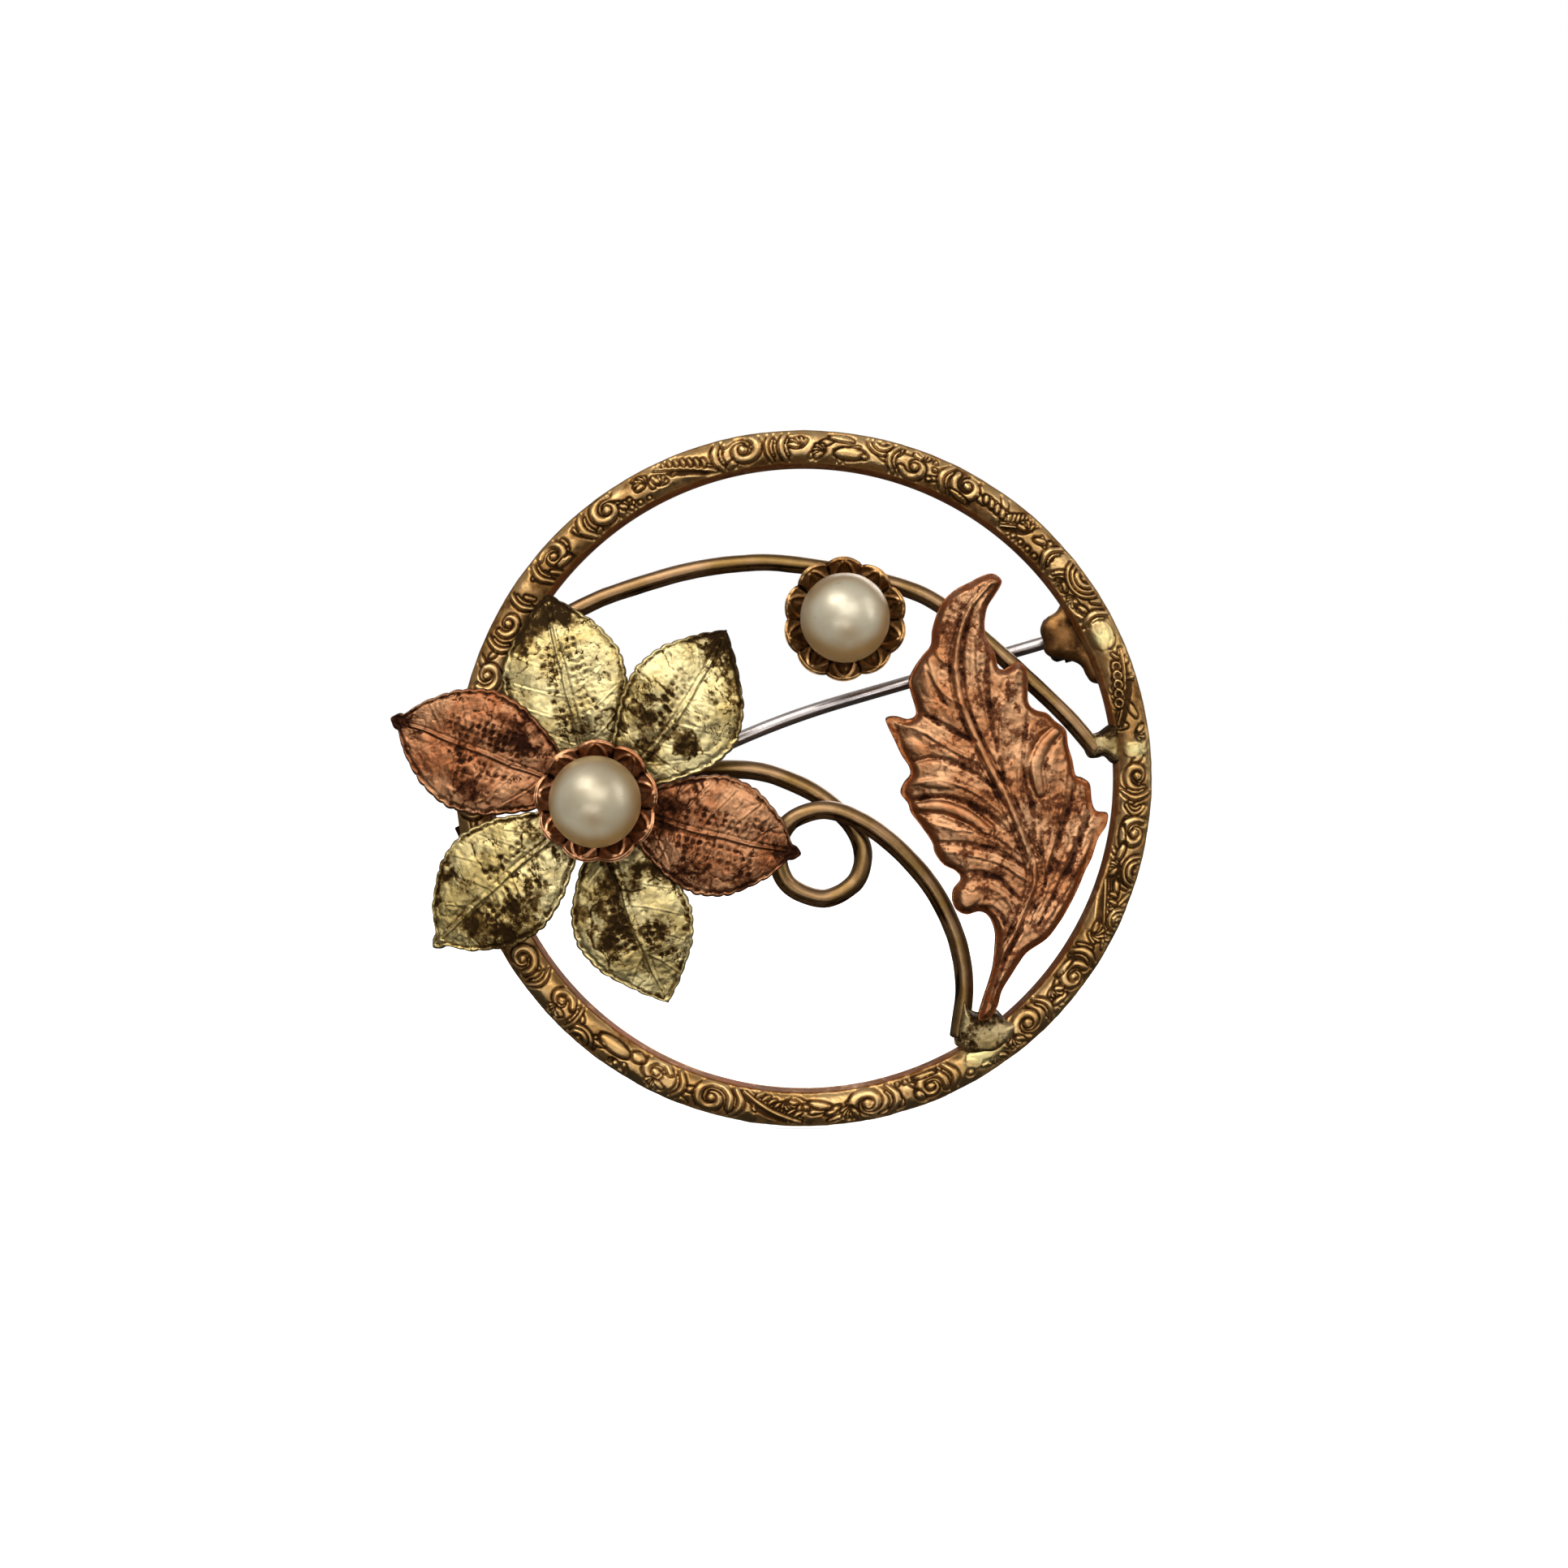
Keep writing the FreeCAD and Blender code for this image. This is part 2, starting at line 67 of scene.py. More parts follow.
def lattice(ix, iy, iz, seed):
    """The same random number, -1 to 1, each time for a whole-number place."""
    n = (ix * 73856093) ^ (iy * 19349663) ^ (iz * 83492791) ^ (seed * 1640531)
    n = (n & 0x7FFFFFFF) * 1103515245 + 12345
    n = ((n >> 11) ^ n) & 0x7FFFFFFF
    n = (n * 69069 + 5) & 0x7FFFFFFF
    return ((n >> 8) & 0xFFFF) / 32767.5 - 1.0


def one_noise(p, seed):
    """Noise of one size: the lattice numbers, blended between places."""
    cell = np.floor(p).astype(np.int64)
    f = p - cell
    f = f * f * f * (f * (f * 6 - 15) + 10)
    total = np.zeros(len(p))
    for dx in (0, 1):
        wx = f[:, 0] if dx else 1 - f[:, 0]
        for dy in (0, 1):
            wy = f[:, 1] if dy else 1 - f[:, 1]
            for dz in (0, 1):
                wz = f[:, 2] if dz else 1 - f[:, 2]
                total += wx * wy * wz * lattice(cell[:, 0] + dx, cell[:, 1] + dy, cell[:, 2] + dz, seed)
    return total


def noise(p, size, octaves=3, seed=0):
    """Soft noise, about -1 to 1, at points in mm, whose largest features have this size."""
    p = np.asarray(p, float)
    if p.shape[1] == 2:
        p = np.column_stack([p, np.zeros(len(p))])
    total, strength, weight = np.zeros(len(p)), 1.0, 0.0
    for k in range(octaves):
        total += strength * one_noise(p * (2 ** k) / size + 17.3 * k, seed + k)
        weight += strength
        strength *= 0.5
    return total / weight * 1.6


def cracks(p, size, octaves=3, seed=0):
    """Thin branching lines: 1 on a line, 0 away from it."""
    return 1 - np.clip(np.abs(noise(p, size, octaves, seed)) * 7, 0, 1)


def span_between(a, b, c, d, t):
    """Points of a smooth curve from b to c, with a before them and d after."""
    return 0.5 * (2 * b + (c - a) * t + (2 * a - 5 * b + 4 * c - d) * t ** 2
                  + (3 * b - a - 3 * c + d) * t ** 3)


def curve(points, per=10):
    """Smooth line through points."""
    p = np.array(points, float)
    p = np.vstack([2 * p[0] - p[1], p, 2 * p[-1] - p[-2]])
    t = np.linspace(0, 1, per, endpoint=False)[:, None]
    return np.vstack([span_between(*p[i:i + 4], t) for i in range(len(p) - 3)] + [p[-2:-1]])


def to_line(q, path):
    """Distance from flat points to a line, and the share of the way along it."""
    a = path[:-1]
    s = path[1:] - a
    length2 = np.maximum((s ** 2).sum(1), 1e-12)
    rel = q[:, None, :] - a[None]
    t = np.clip((rel * s).sum(2) / length2, 0, 1)
    d2 = ((rel - t[:, :, None] * s) ** 2).sum(2)
    best = d2.argmin(1)
    row = np.arange(len(q))
    return np.sqrt(d2[row, best]), (best + t[row, best]) / len(a)


class Relief:
    """Heights over flat points, built up from raised strokes, grooves and pits."""

    def __init__(self, q, base=0.0, sharp=0.5, ditch=0.0):
        self.q, self.sharp, self.ditch = q, sharp, ditch
        self.h = np.full(len(q), float(base))
        self.order = np.argsort(q[:, 0], kind="stable")
        self.sorted = q[self.order, 0]

    def near(self, low, high):
        """Which points lie in a box."""
        i, j = np.searchsorted(self.sorted, low[0]), np.searchsorted(self.sorted, high[0])
        pick = self.order[i:j]
        rows = self.q[pick, 1]
        return pick[(rows > low[1]) & (rows < high[1])]

    def lay(self, pick, rise, out, mode):
        """Adds or cuts a mark, or keeps the higher height, with a narrow ditch at the mark's foot. out is
        the distance in mm from the mark's edge."""
        if mode == "add":
            self.h[pick] += rise
        elif mode == "cut":
            self.h[pick] -= rise
        else:
            if self.ditch:
                cut = np.exp(-((out - 0.5 * self.ditch) / (0.75 * self.ditch)) ** 2)
                self.h[pick] *= 1 - 0.88 * np.where(out > 0, cut, 0)
            self.h[pick] = np.maximum(self.h[pick], rise)

    def stroke(self, points, width, top=1.0, ends=0.3, mode="max", sharp=None):
        """A mark along a line, as wide as ends says at its ends."""
        path = curve(points, 6) if len(points) > 2 else np.array(points, float)
        reach = width + 2 * self.ditch
        pick = self.near(path.min(0) - reach, path.max(0) + reach)
        if len(pick):
            d, s = to_line(self.q[pick], path)
            w = width * (ends + (1 - ends) * np.sin(np.pi * np.clip(s, 0.03, 0.97)) ** 0.6)
            rise = np.clip(1 - (d / w) ** 2, 0, None) ** (self.sharp if sharp is None else sharp)
            self.lay(pick, top * rise, d - w, mode)

    def blob(self, x, y, rx, ry, top=1.0, turn=0.0, mode="max", sharp=None):
        """An oval mark."""
        r = max(rx, ry) + 2 * self.ditch
        pick = self.near((x - r, y - r), (x + r, y + r))
        if len(pick):
            c, s = math.cos(math.radians(turn)), math.sin(math.radians(turn))
            dx, dy = self.q[pick, 0] - x, self.q[pick, 1] - y
            far2 = ((dx * c + dy * s) / rx) ** 2 + ((dy * c - dx * s) / ry) ** 2
            rise = np.clip(1 - far2, 0, None) ** (self.sharp if sharp is None else sharp)
            self.lay(pick, top * rise, (np.sqrt(far2) - 1) * min(rx, ry), mode)


def make(name, verts, faces, material, replaces, slot, body="frame", **marks):
    """A mesh piece from mm points. marks are numbers for each point that the materials read."""
    v = np.asarray(verts, float)
    mesh = bpy.data.meshes.new(name)
    mesh.from_pydata((v * MM).tolist(), [], [list(map(int, f)) for f in faces])
    tris = np.array([(f[0], f[k], f[k + 1]) for f in faces for k in range(1, len(f) - 1)])
    a, b, c = v[tris[:, 0]], v[tris[:, 1]], v[tris[:, 2]]
    if (a * np.cross(b, c)).sum() < 0:
        mesh.flip_normals()
    mesh.shade_smooth()
    for mark, values in marks.items():
        layer = mesh.attributes.new(mark, "FLOAT", "POINT")
        layer.data.foreach_set("value", np.clip(values, 0, 1).astype(np.float32))
    mesh.materials.append(material)
    obj = bpy.data.objects.new(name, mesh)
    bpy.context.scene.collection.objects.link(obj)
    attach(obj, body)
    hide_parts(*replaces)


def grid_faces(ni, nj, wrap_i=False, wrap_j=False):
    """Faces of a grid of points, ni by nj, that may close on itself either way."""
    i = np.arange(ni if wrap_i else ni - 1)
    j = np.arange(nj if wrap_j else nj - 1)
    a, b = (k.ravel() for k in np.meshgrid(i, j, indexing="ij"))
    a1, b1 = (a + 1) % ni, (b + 1) % nj
    return np.column_stack([a * nj + b, a1 * nj + b, a1 * nj + b1, a * nj + b1]).tolist()


def rod_faces(count, around):
    """Faces of a rod made of circles, closed at both ends."""
    ends = [list(range(around)), list(range((count - 1) * around, count * around))]
    return grid_faces(count, around, wrap_j=True) + ends


def sheet_faces(faces, total, borders):
    """Faces of a thin sheet: its front, the same behind it, and walls along closed borders."""
    both = faces + [[k + total for k in reversed(face)] for face in faces]
    for border in borders:
        for i, j in zip(border, border[1:] + border[:1]):
            both.append([j, i, i + total, j + total])
    return both


def unit(v):
    return v / np.maximum(np.linalg.norm(v, axis=1), 1e-9)[:, None]


def circles(tangent, around):
    """Unit circles across a line, one for each of its points."""
    side = unit(np.cross(tangent, (0, 1, 0)))
    up = np.cross(side, tangent)
    turn = np.linspace(0, 2 * math.pi, around, endpoint=False)
    return np.cos(turn)[None, :, None] * side[:, None] + np.sin(turn)[None, :, None] * up[:, None]


def stem(name, node, points, radius, seed):
    """Round wire with rounded ends and slight hand-drawn unevenness, with painted shade on its lower side
    and a painted reflection as a dark line in a slight groove there.
    """
    per, around, cap_rings = 16, 28, 5
    path = curve(points, per)
    run = np.r_[0, np.cumsum(np.linalg.norm(np.diff(path, axis=0), axis=1))]
    tangent = unit(np.gradient(path, run, axis=0))
    size = radius * (1 + 0.02 * noise(path, 2.5, 2, seed))
    ring = circles(tangent, around)
    caps = [math.pi / 2 * (k + 1) / (cap_rings + 1) for k in range(cap_rings)]
    rings = [path[0] - tangent[0] * 0.35 * radius * math.cos(a) + ring[0] * radius * math.sin(a)
             for a in caps]
    rings += [path[k] + ring[k] * size[k] for k in range(len(path))]
    rings += [path[-1] + tangent[-1] * 0.35 * radius * math.cos(a) + ring[-1] * radius * math.sin(a)
              for a in reversed(caps)]
    v = np.vstack(rings)
    bump = noise(v, 0.9, 3, seed + 5) * 0.012
    centre = np.vstack([path[:1]] * cap_rings + [path] + [path[-1:]] * cap_rings).repeat(around, axis=0)
    out = unit(v - centre)
    v += out * bump[:, None]
    # painted shade and reflection: lit says how far a point faces the light above; the lower side is
    # darkened, and a dark line just under the middle, in a 0.04 mm groove, is a painted reflection of the
    # dark room
    lit = out @ np.array([0.5, 0.0, 0.866])
    line = np.exp(-((lit + 0.4) / 0.09) ** 2) * smooth(0.3, 0.0, out[:, 1])
    v -= out * (0.04 * line)[:, None]
    relief = 0.85 + 0.15 * noise(v, 1.6, 3, seed + 9) - 0.75 * line - 0.42 * smooth(-0.42, -0.62, lit)
    make(name, v, rod_faces(len(rings), around), WIRE, [node], "stem_gold",
         relief=relief, tarnish=0.5 + 0.5 * noise(v, 3.5, 3, seed + 2))


def inside(q, ring):
    """Which flat points lie inside a closed outline."""
    x, y = q[:, 0], q[:, 1]
    hit = np.zeros(len(q), bool)
    for (ax, ay), (bx, by) in zip(ring, np.roll(ring, -1, axis=0)):
        if ay != by:
            cut = (ay > y) != (by > y)
            hit ^= cut & (x < (bx - ax) * (y - ay) / (by - ay) + ax)
    return hit


def resample(points, step):
    """Even points along a closed outline that is rounded through the given ones."""
    p = np.array(points, float)
    closed = np.vstack([p[-1:], p, p[:2]])
    t = np.linspace(0, 1, 8, endpoint=False)[:, None]
    line = np.vstack([span_between(*closed[i:i + 4], t) for i in range(len(closed) - 3)])
    loop = np.vstack([line, line[:1]])
    run = np.r_[0, np.cumsum(np.linalg.norm(np.diff(loop, axis=0), axis=1))]
    n = int(run[-1] / step)
    at = np.arange(n) * run[-1] / n
    return np.column_stack([np.interp(at, run, loop[:, 0]), np.interp(at, run, loop[:, 1])])


def from_edge(q, loop):
    """Distance of flat points from a closed line, a batch at a time."""
    batch = 4000
    return np.concatenate([to_line(q[k:k + batch], loop)[0] for k in range(0, len(q), batch)])


def slab(name, node, outline, step, face, back, material, slot):
    """A solid over a closed outline in X and Z, with a flat back at this y. face(q, e) gives its front y
    and the points' marks, with e the distance from the edge."""
    ring = resample(outline, step)
    low, high = ring.min(0), ring.max(0)
    gx, gz = np.meshgrid(np.arange(low[0], high[0], step), np.arange(low[1], high[1], step * 0.87))
    gx[::2] += step / 2
    q = np.column_stack([gx.ravel(), gz.ravel()])
    q = q[inside(q, ring)]
    loop = np.vstack([ring, ring[:1]])
    q = q[from_edge(q, loop) > 0.55 * step]
    n = len(ring)
    flat = [tuple(p) for p in np.vstack([ring, q]).tolist()]
    points, _, tris = delaunay_2d_cdt(flat, [], [list(range(n))], 1, 1e-6)[:3]
    pts = np.array([tuple(p) for p in points])
    m = len(pts)
    y, marks = face(pts, from_edge(pts, loop))
    front = np.column_stack([pts[:, 0], y, pts[:, 1]])
    rear = np.column_stack([pts[:, 0], np.full(m, back), pts[:, 1]])
    middle = (front[:n] + rear[:n]) / 2
    faces = [list(f) for f in tris] + [[k + m for k in reversed(f)] for f in tris]
    for k in range(n):
        j = (k + 1) % n
        faces.append([j, k, 2 * m + k, 2 * m + j])
        faces.append([2 * m + j, 2 * m + k, m + k, m + j])
    full = {key: np.r_[val, np.full(m, 0.35), np.full(n, 0.3)] for key, val in marks.items()}
    make(name, np.vstack([front, rear, middle]), faces, material, [node], slot, **full)


# ---------- materials ----------

class Nodes:
    """Short names for building a material."""

    def __init__(self, name):
        self.mat = bpy.data.materials.new(name)
        self.mat.use_nodes = True
        self.tree = self.mat.node_tree
        self.bsdf = self.tree.nodes["Principled BSDF"]
        self.place = self.new("ShaderNodeTexCoord").outputs["Object"]

    def new(self, kind, **settings):
        n = self.tree.nodes.new(kind)
        for key, value in settings.items():
            setattr(n, key, value)
        return n

    def wire(self, source, target):
        if isinstance(source, (int, float, tuple)):
            target.default_value = source
        else:
            self.tree.links.new(source, target)

    def mark(self, name):
        return self.new("ShaderNodeAttribute", attribute_name=name).outputs["Fac"]

    def noise(self, scale, detail=4.0, rough=0.55, stretch=None, distortion=0.0):
        n = self.new("ShaderNodeTexNoise")
        place = self.place
        if stretch:
            m = self.new("ShaderNodeMapping")
            m.inputs["Scale"].default_value = stretch
            self.wire(place, m.inputs["Vector"])
            place = m.outputs["Vector"]
        self.wire(place, n.inputs["Vector"])
        n.inputs["Scale"].default_value = scale
        n.inputs["Detail"].default_value = detail
        n.inputs["Roughness"].default_value = rough
        n.inputs["Distortion"].default_value = distortion
        return n.outputs["Fac"]

    def calc(self, op, a, b=0.0, clamp=False):
        n = self.new("ShaderNodeMath", operation=op, use_clamp=clamp)
        self.wire(a, n.inputs[0])
        self.wire(b, n.inputs[1])
        return n.outputs[0]

    def span(self, x, low, high, to_low=0.0, to_high=1.0):
        n = self.new("ShaderNodeMapRange", interpolation_type="SMOOTHSTEP")
        for key, value in zip(("Value", "From Min", "From Max", "To Min", "To Max"),
                              (x, low, high, to_low, to_high)):
            self.wire(value, n.inputs[key])
        return n.outputs["Result"]

    def blend(self, fac, a, b):
        n = self.new("ShaderNodeMix", data_type="RGBA")
        for key, value in ((0, fac), (6, a), (7, b)):
            self.wire(value, n.inputs[key])
        return n.outputs[2]

    def bump(self, height, strength, depth):
        n = self.new("ShaderNodeBump")
        n.inputs["Strength"].default_value = strength
        n.inputs["Distance"].default_value = depth
        self.wire(height, n.inputs["Height"])
        return n.outputs["Normal"]

    def out(self, **sockets):
        for key, value in sockets.items():
            self.wire(value, self.bsdf.inputs[key.replace("_", " ")])
        return self.mat


def rgb(code):
    """A colour as seen, from its hex code."""
    v = [int(code[k:k + 2], 16) / 255 for k in (0, 2, 4)]
    return tuple(c / 12.92 if c <= 0.04045 else ((c + 0.055) / 1.055) ** 2.4 for c in v) + (1.0,)


def aged_metal(title, bright, tone, brown, deep, bite=0.55, speck=0.5, crisp=4.0,
               shine=0.27, dull=0.62, pits=0.5, fine=2600.0, hair=0.0, tints=()):
    """Old plated metal: bright where rubbed, brown where recessed or tarnished, and brown where a relief
    mark carries painted shade, as on the wire's lower side; finely pitted. hair adds dark hairlines; tints
    are (mark, colour, share) and colour the places that a mark names."""
    g = Nodes(title)
    relief, tarnish = g.mark("relief"), g.mark("tarnish")
    cloud = g.noise(420.0, 5.0, 0.6)
    specks = g.noise(fine, 7.0, 0.68)
    dots = g.noise(fine * 3.1, 3.0, 0.6)
    low = g.calc("SUBTRACT", 1.0, relief)
    dark = g.calc("MULTIPLY", low, 1.15)
    dark = g.calc("ADD", dark, g.calc("MULTIPLY", tarnish, bite))
    dark = g.calc("ADD", dark, g.calc("MULTIPLY", g.calc("SUBTRACT", specks, 0.5), speck * 2.2))
    dark = g.calc("ADD", dark, g.calc("MULTIPLY", g.calc("SUBTRACT", cloud, 0.5), 0.5))
    if hair:
        wander = g.noise(700.0, 5.0, 0.6, distortion=0.4)
        line = g.span(g.calc("ABSOLUTE", g.calc("SUBTRACT", wander, 0.5)), 0.0, 0.018, 1.0, 0.0)
        where = g.span(g.noise(330.0, 2.0), 0.42, 0.6)
        dark = g.calc("ADD", dark, g.calc("MULTIPLY", g.calc("MULTIPLY", line, where), hair))
    patina = g.calc("MULTIPLY", g.calc("SUBTRACT", dark, 0.5), crisp, clamp=True)
    black = g.span(dark, 0.75, 1.2)
    shade = g.blend(g.span(cloud, 0.35, 0.65), rgb(bright), rgb(tone))
    colour = g.blend(g.calc("MULTIPLY", patina, 0.94), shade, rgb(brown))
    colour = g.blend(black, colour, rgb(deep))
    for name, code, share in tints:
        colour = g.blend(g.calc("MULTIPLY", g.mark(name), share), colour, rgb(code))
    rough = g.calc("ADD", g.span(patina, 0.0, 1.0, shine, dull), g.calc("MULTIPLY", dots, 0.1))
    normal = g.bump(g.calc("ADD", specks, g.calc("MULTIPLY", dots, 0.35)), pits, 0.06 * MM)
    metal = g.span(patina, 0.0, 1.0, 1.0, 0.88)
    return g.out(Base_Color=colour, Roughness=rough, Metallic=metal, Normal=normal, Specular_IOR_Level=0.2)


GOLD = aged_metal("hoop_gold", "BE9C6A", "A8824E", "765026", "3E2812", bite=0.4, speck=0.3, crisp=2.4,
                  shine=0.33, tints=[("rust", "8A4A18", 0.75), ("pale", "CDC38A", 0.8)])
WIRE = aged_metal("stem_gold", "86694A", "6E542E", "4E3012", "1A0E04", bite=0.4, speck=0.2, crisp=2.0,
                  shine=0.34, dull=0.5, pits=0.25)
CUP_ROSE = aged_metal("cup_rose", "CE9870", "AC7048", "5A2E14", "1E0C04", bite=0.6, speck=0.5, crisp=2.4,
                      shine=0.28, dull=0.5, pits=0.6)
CUP_GOLD = aged_metal("cup_gold", "BC9462", "966C3E", "583616", "1E1006", bite=0.5, speck=0.4, crisp=2.4,
                      shine=0.3, dull=0.55, pits=0.5)
GREEN = aged_metal("green_gold", "C4B482", "AC965E", "5C421A", "2A1C0A", bite=1.0, speck=0.6, crisp=2.8,
                   shine=0.36, dull=0.6, pits=0.6, fine=3000.0, hair=0.8)
ROSE = aged_metal("rose_gold", "A07452", "844F30", "542C14", "2A140A", bite=1.0, speck=0.6, crisp=2.8,
                  shine=0.36, dull=0.58, pits=0.6, fine=3000.0, hair=0.8)
LEAF = aged_metal("leaf_copper", "B38660", "98633E", "643820", "2A140A", bite=0.9, speck=1.2, crisp=4.0,
                  shine=0.34, dull=0.62, pits=0.9, fine=2300.0, tints=[("rust", "86461E", 0.6)])
SOLDER = aged_metal("solder", "AA976E", "7C6840", "4A3418", "221406", bite=0.7, speck=1.0, crisp=2.5,
                    shine=0.36, dull=0.6, pits=0.8, fine=3400.0)
FITTING = aged_metal("fittings", "8A6238", "684828", "40260E", "201004", bite=0.5, speck=0.4, crisp=2.0,
                     shine=0.36, dull=0.55, pits=0.35)


def steel():
    g = Nodes("pin_steel")
    drawn = g.noise(900.0, 5.0, 0.6, stretch=(0.35, 3.0, 1.2))
    cloud = g.noise(260.0, 4.0)
    spots = g.noise(2600.0, 5.0, 0.7)
    colour = g.blend(g.span(cloud, 0.3, 0.7), rgb("B6ADA9"), rgb("958B87"))
    colour = g.blend(g.span(spots, 0.62, 0.72, 0.0, 0.6), colour, rgb("4A3F3C"))
    rough = g.span(drawn, 0.3, 0.7, 0.24, 0.42)
    return g.out(Base_Color=colour, Roughness=rough, Metallic=1.0, Normal=g.bump(drawn, 0.25, 0.03 * MM))


def nacre():
    g = Nodes("pearl_nacre")
    cloud = g.noise(260.0, 4.0, 0.5, distortion=0.6)
    fine = g.noise(2200.0, 5.0, 0.6)
    scratch = g.noise(1500.0, 3.0, 0.5, stretch=(0.25, 1.0, 2.4))
    tarnish_and_painted_shade = g.mark("tarnish")
    colour = g.blend(g.span(cloud, 0.3, 0.7), rgb("ABA28C"), rgb("988C72"))
    # the pearl's tarnish mark, drawn in this brown: real tarnish plus painted shade towards the bottom and
    # rim and a painted reflection low on the front
    colour = g.blend(g.span(tarnish_and_painted_shade, 0.1, 0.95), colour, rgb("86683C"))
    colour = g.blend(g.span(scratch, 0.66, 0.72, 0.0, 0.4), colour, rgb("806840"))
    rough = g.span(fine, 0.3, 0.7, 0.36, 0.46)
    return g.out(Base_Color=colour, Roughness=rough, Metallic=0.5, Normal=g.bump(cloud, 0.12, 0.1 * MM),
                 Subsurface_Weight=0.12, Subsurface_Radius=(1.2 * MM, 0.9 * MM, 0.6 * MM),
                 Subsurface_Scale=0.6, Coat_Weight=0.3, Coat_Roughness=0.22, IOR=1.6)


STEEL, NACRE = steel(), nacre()


# ---------- hoop ----------

MM_PER_DEG = math.radians(1) * 20.2
BAND_MID, BAND_LOW, BAND_TALL = 20.175, -0.86, 1.25


class Chasing:
    """Scrollwork along the hoop. Places are in degrees from +X towards +Z and mm outwards from the
    middle of the band; drawing runs clockwise, so it is +x here."""

    def __init__(self, q):
        self.r = Relief(q, 0.68, 0.26, 0.08)
        self.rng = np.random.default_rng(11)

    def at(self, deg, t):
        return (-deg * MM_PER_DEG, BAND_LOW + (t + 0.5) * BAND_TALL)

    def scroll(self, deg, t, size=0.62, turns=1.55, hand=1, start=140, w=0.12):
        """Curl that winds inwards; hand 1 or -1 says which way."""
        size, w, turns = size * 1.55, w * 1.9, turns * 0.66
        f = np.linspace(0, 1, 13)
        a = np.radians(start + hand * 360 * turns * f)
        r = size * (1 - 0.76 * f)
        x, y = self.at(deg, t * 0.6 + 0.1)
        self.r.stroke(np.column_stack([x + r * np.cos(a), y + r * np.sin(a)]), w, 1.0, 0.7)
        self.r.blob(x, y, w, w, 1.0)

    def bow(self, deg, lean=0.22, w=0.17, hand=1, low=-0.9, high=1.0):
        """Curved bar across the band, like an opening bracket; hand -1 for a closing one."""
        x, w = self.at(deg, 0)[0], w * 1.25
        mid, half = (low + high) / 2, (high - low) / 2
        pts = [(x + hand * (lean * 1.6 * abs(k) ** 1.6 - lean), mid - half * k)
               for k in (-1, -0.6, -0.2, 0.2, 0.6, 1)]
        self.r.stroke(pts, w, 1.0, 0.45)
        self.r.stroke([(px + hand * (w + 0.1), py) for px, py in pts[1:-1]], 0.07, 0.85, 0.5)

    def hang(self, deg, size=0.6, rings=2, top_t=1.0):
        """Crescents hanging from the outer edge."""
        x = self.at(deg, 0)[0]
        for k in range(rings):
            r = size * 1.25 - 0.32 * k
            a = np.radians(np.linspace(188, 352, 8))
            self.r.stroke(np.column_stack([x + r * np.cos(a), top_t + r * 0.95 * np.sin(a)]), 0.17, 1.0, 0.5)
        self.r.blob(x, top_t - 0.05, 0.16, 0.13, 0.9)

    def bead(self, deg, t, r=0.13):
        self.r.blob(*self.at(deg, t), r * 1.2, r * 1.2, 0.95)

    def leaf(self, deg, t, rx, ry, turn=0):
        """Flat polished oval."""
        self.r.blob(*self.at(deg, t), rx * 1.15, ry * 1.3, 1.0, turn, sharp=0.22)

    def feather(self, deg0, t0, deg1, t1, hollow=-1, w=0.2):
        """Long ridge crossing the band slantwise, with a deep hollow on one side and barbs on the other."""
        a, b = np.array(self.at(deg0, t0)), np.array(self.at(deg1, t1))
        along = b - a
        norm = np.array([-along[1], along[0]]) / np.linalg.norm(along)
        mid = (a + b) / 2 + norm * 0.1
        shift = norm * hollow * 0.34
        self.r.stroke([a + shift + along * 0.2, mid + shift, b + shift * 0.6], 0.24, 0.6, 0.3, mode="cut")
        self.r.stroke([a, mid, b], w, 1.0, 0.25)
        line = norm * -hollow * (w + 0.05)
        self.r.stroke([a + line, mid + line, b + line], 0.06, 0.75, 0.3)
        for k in range(7):
            root = a + along * (0.12 + 0.11 * k) + norm * -hollow * 0.22
            tip = root + norm * -hollow * 0.42 + along / np.linalg.norm(along) * -0.22
            self.r.stroke([root, (root + tip) / 2 + along * 0.01, tip], 0.13, 0.9, 0.4)

    def shell(self, deg, t, size=0.5, n=5, turn=90, spread=110):
        """Fan of short lobes."""
        x, y = self.at(deg, t)
        for k in range(n):
            a = math.radians(turn + spread * (k / (n - 1) - 0.5))
            s = size * 1.25 * (0.85 + 0.3 * self.rng.random())
            self.r.stroke([(x + 0.25 * s * math.cos(a), y + 0.25 * s * math.sin(a)),
                           (x + s * math.cos(a + 0.12), y + s * math.sin(a + 0.12))], 0.16, 0.97, 0.75)

    def ladder(self, deg0, deg1, t0, t1, n):
        """Row of small square hollows."""
        for k in range(n):
            f = (k + 0.5) / n
            x, y = self.at(deg0 + (deg1 - deg0) * f, t0 + (t1 - t0) * f)
            self.r.blob(x, y, 0.34, 0.33, 1.0, -12, sharp=0.12)
            self.r.blob(x, y, 0.2, 0.2, 0.85, -12, "cut", 0.25)

    def plain(self, deg, t, rx, ry):
        """Place where the chasing is rubbed or flooded flat."""
        x, y = self.at(deg, t)
        far2 = ((self.r.q[:, 0] - x) / rx) ** 2 + ((self.r.q[:, 1] - y) / ry) ** 2
        self.r.h += (0.86 - self.r.h) * 0.92 * smooth(1.25, 0.75, far2)

    def crumbs(self, deg0, deg1, n, low=-0.48, high=0.95):
        """Short strokes and beads that fill what is left."""
        for k in range(n):
            deg = deg0 + (deg1 - deg0) * (k + self.rng.random()) / n
            t = low + (high - low) * self.rng.random()
            x, y = self.at(deg, t)
            a = self.rng.random() * math.pi
            s = 0.2 + 0.3 * self.rng.random()
            bend = 0.08 * (self.rng.random() - 0.5)
            self.r.stroke([(x - s * math.cos(a), y - s * math.sin(a)), (x + bend, y - bend),
                           (x + s * math.cos(a), y + s * math.sin(a))], 0.12 + 0.1 * self.rng.random(),
                          0.75 + 0.2 * self.rng.random(), 0.6)


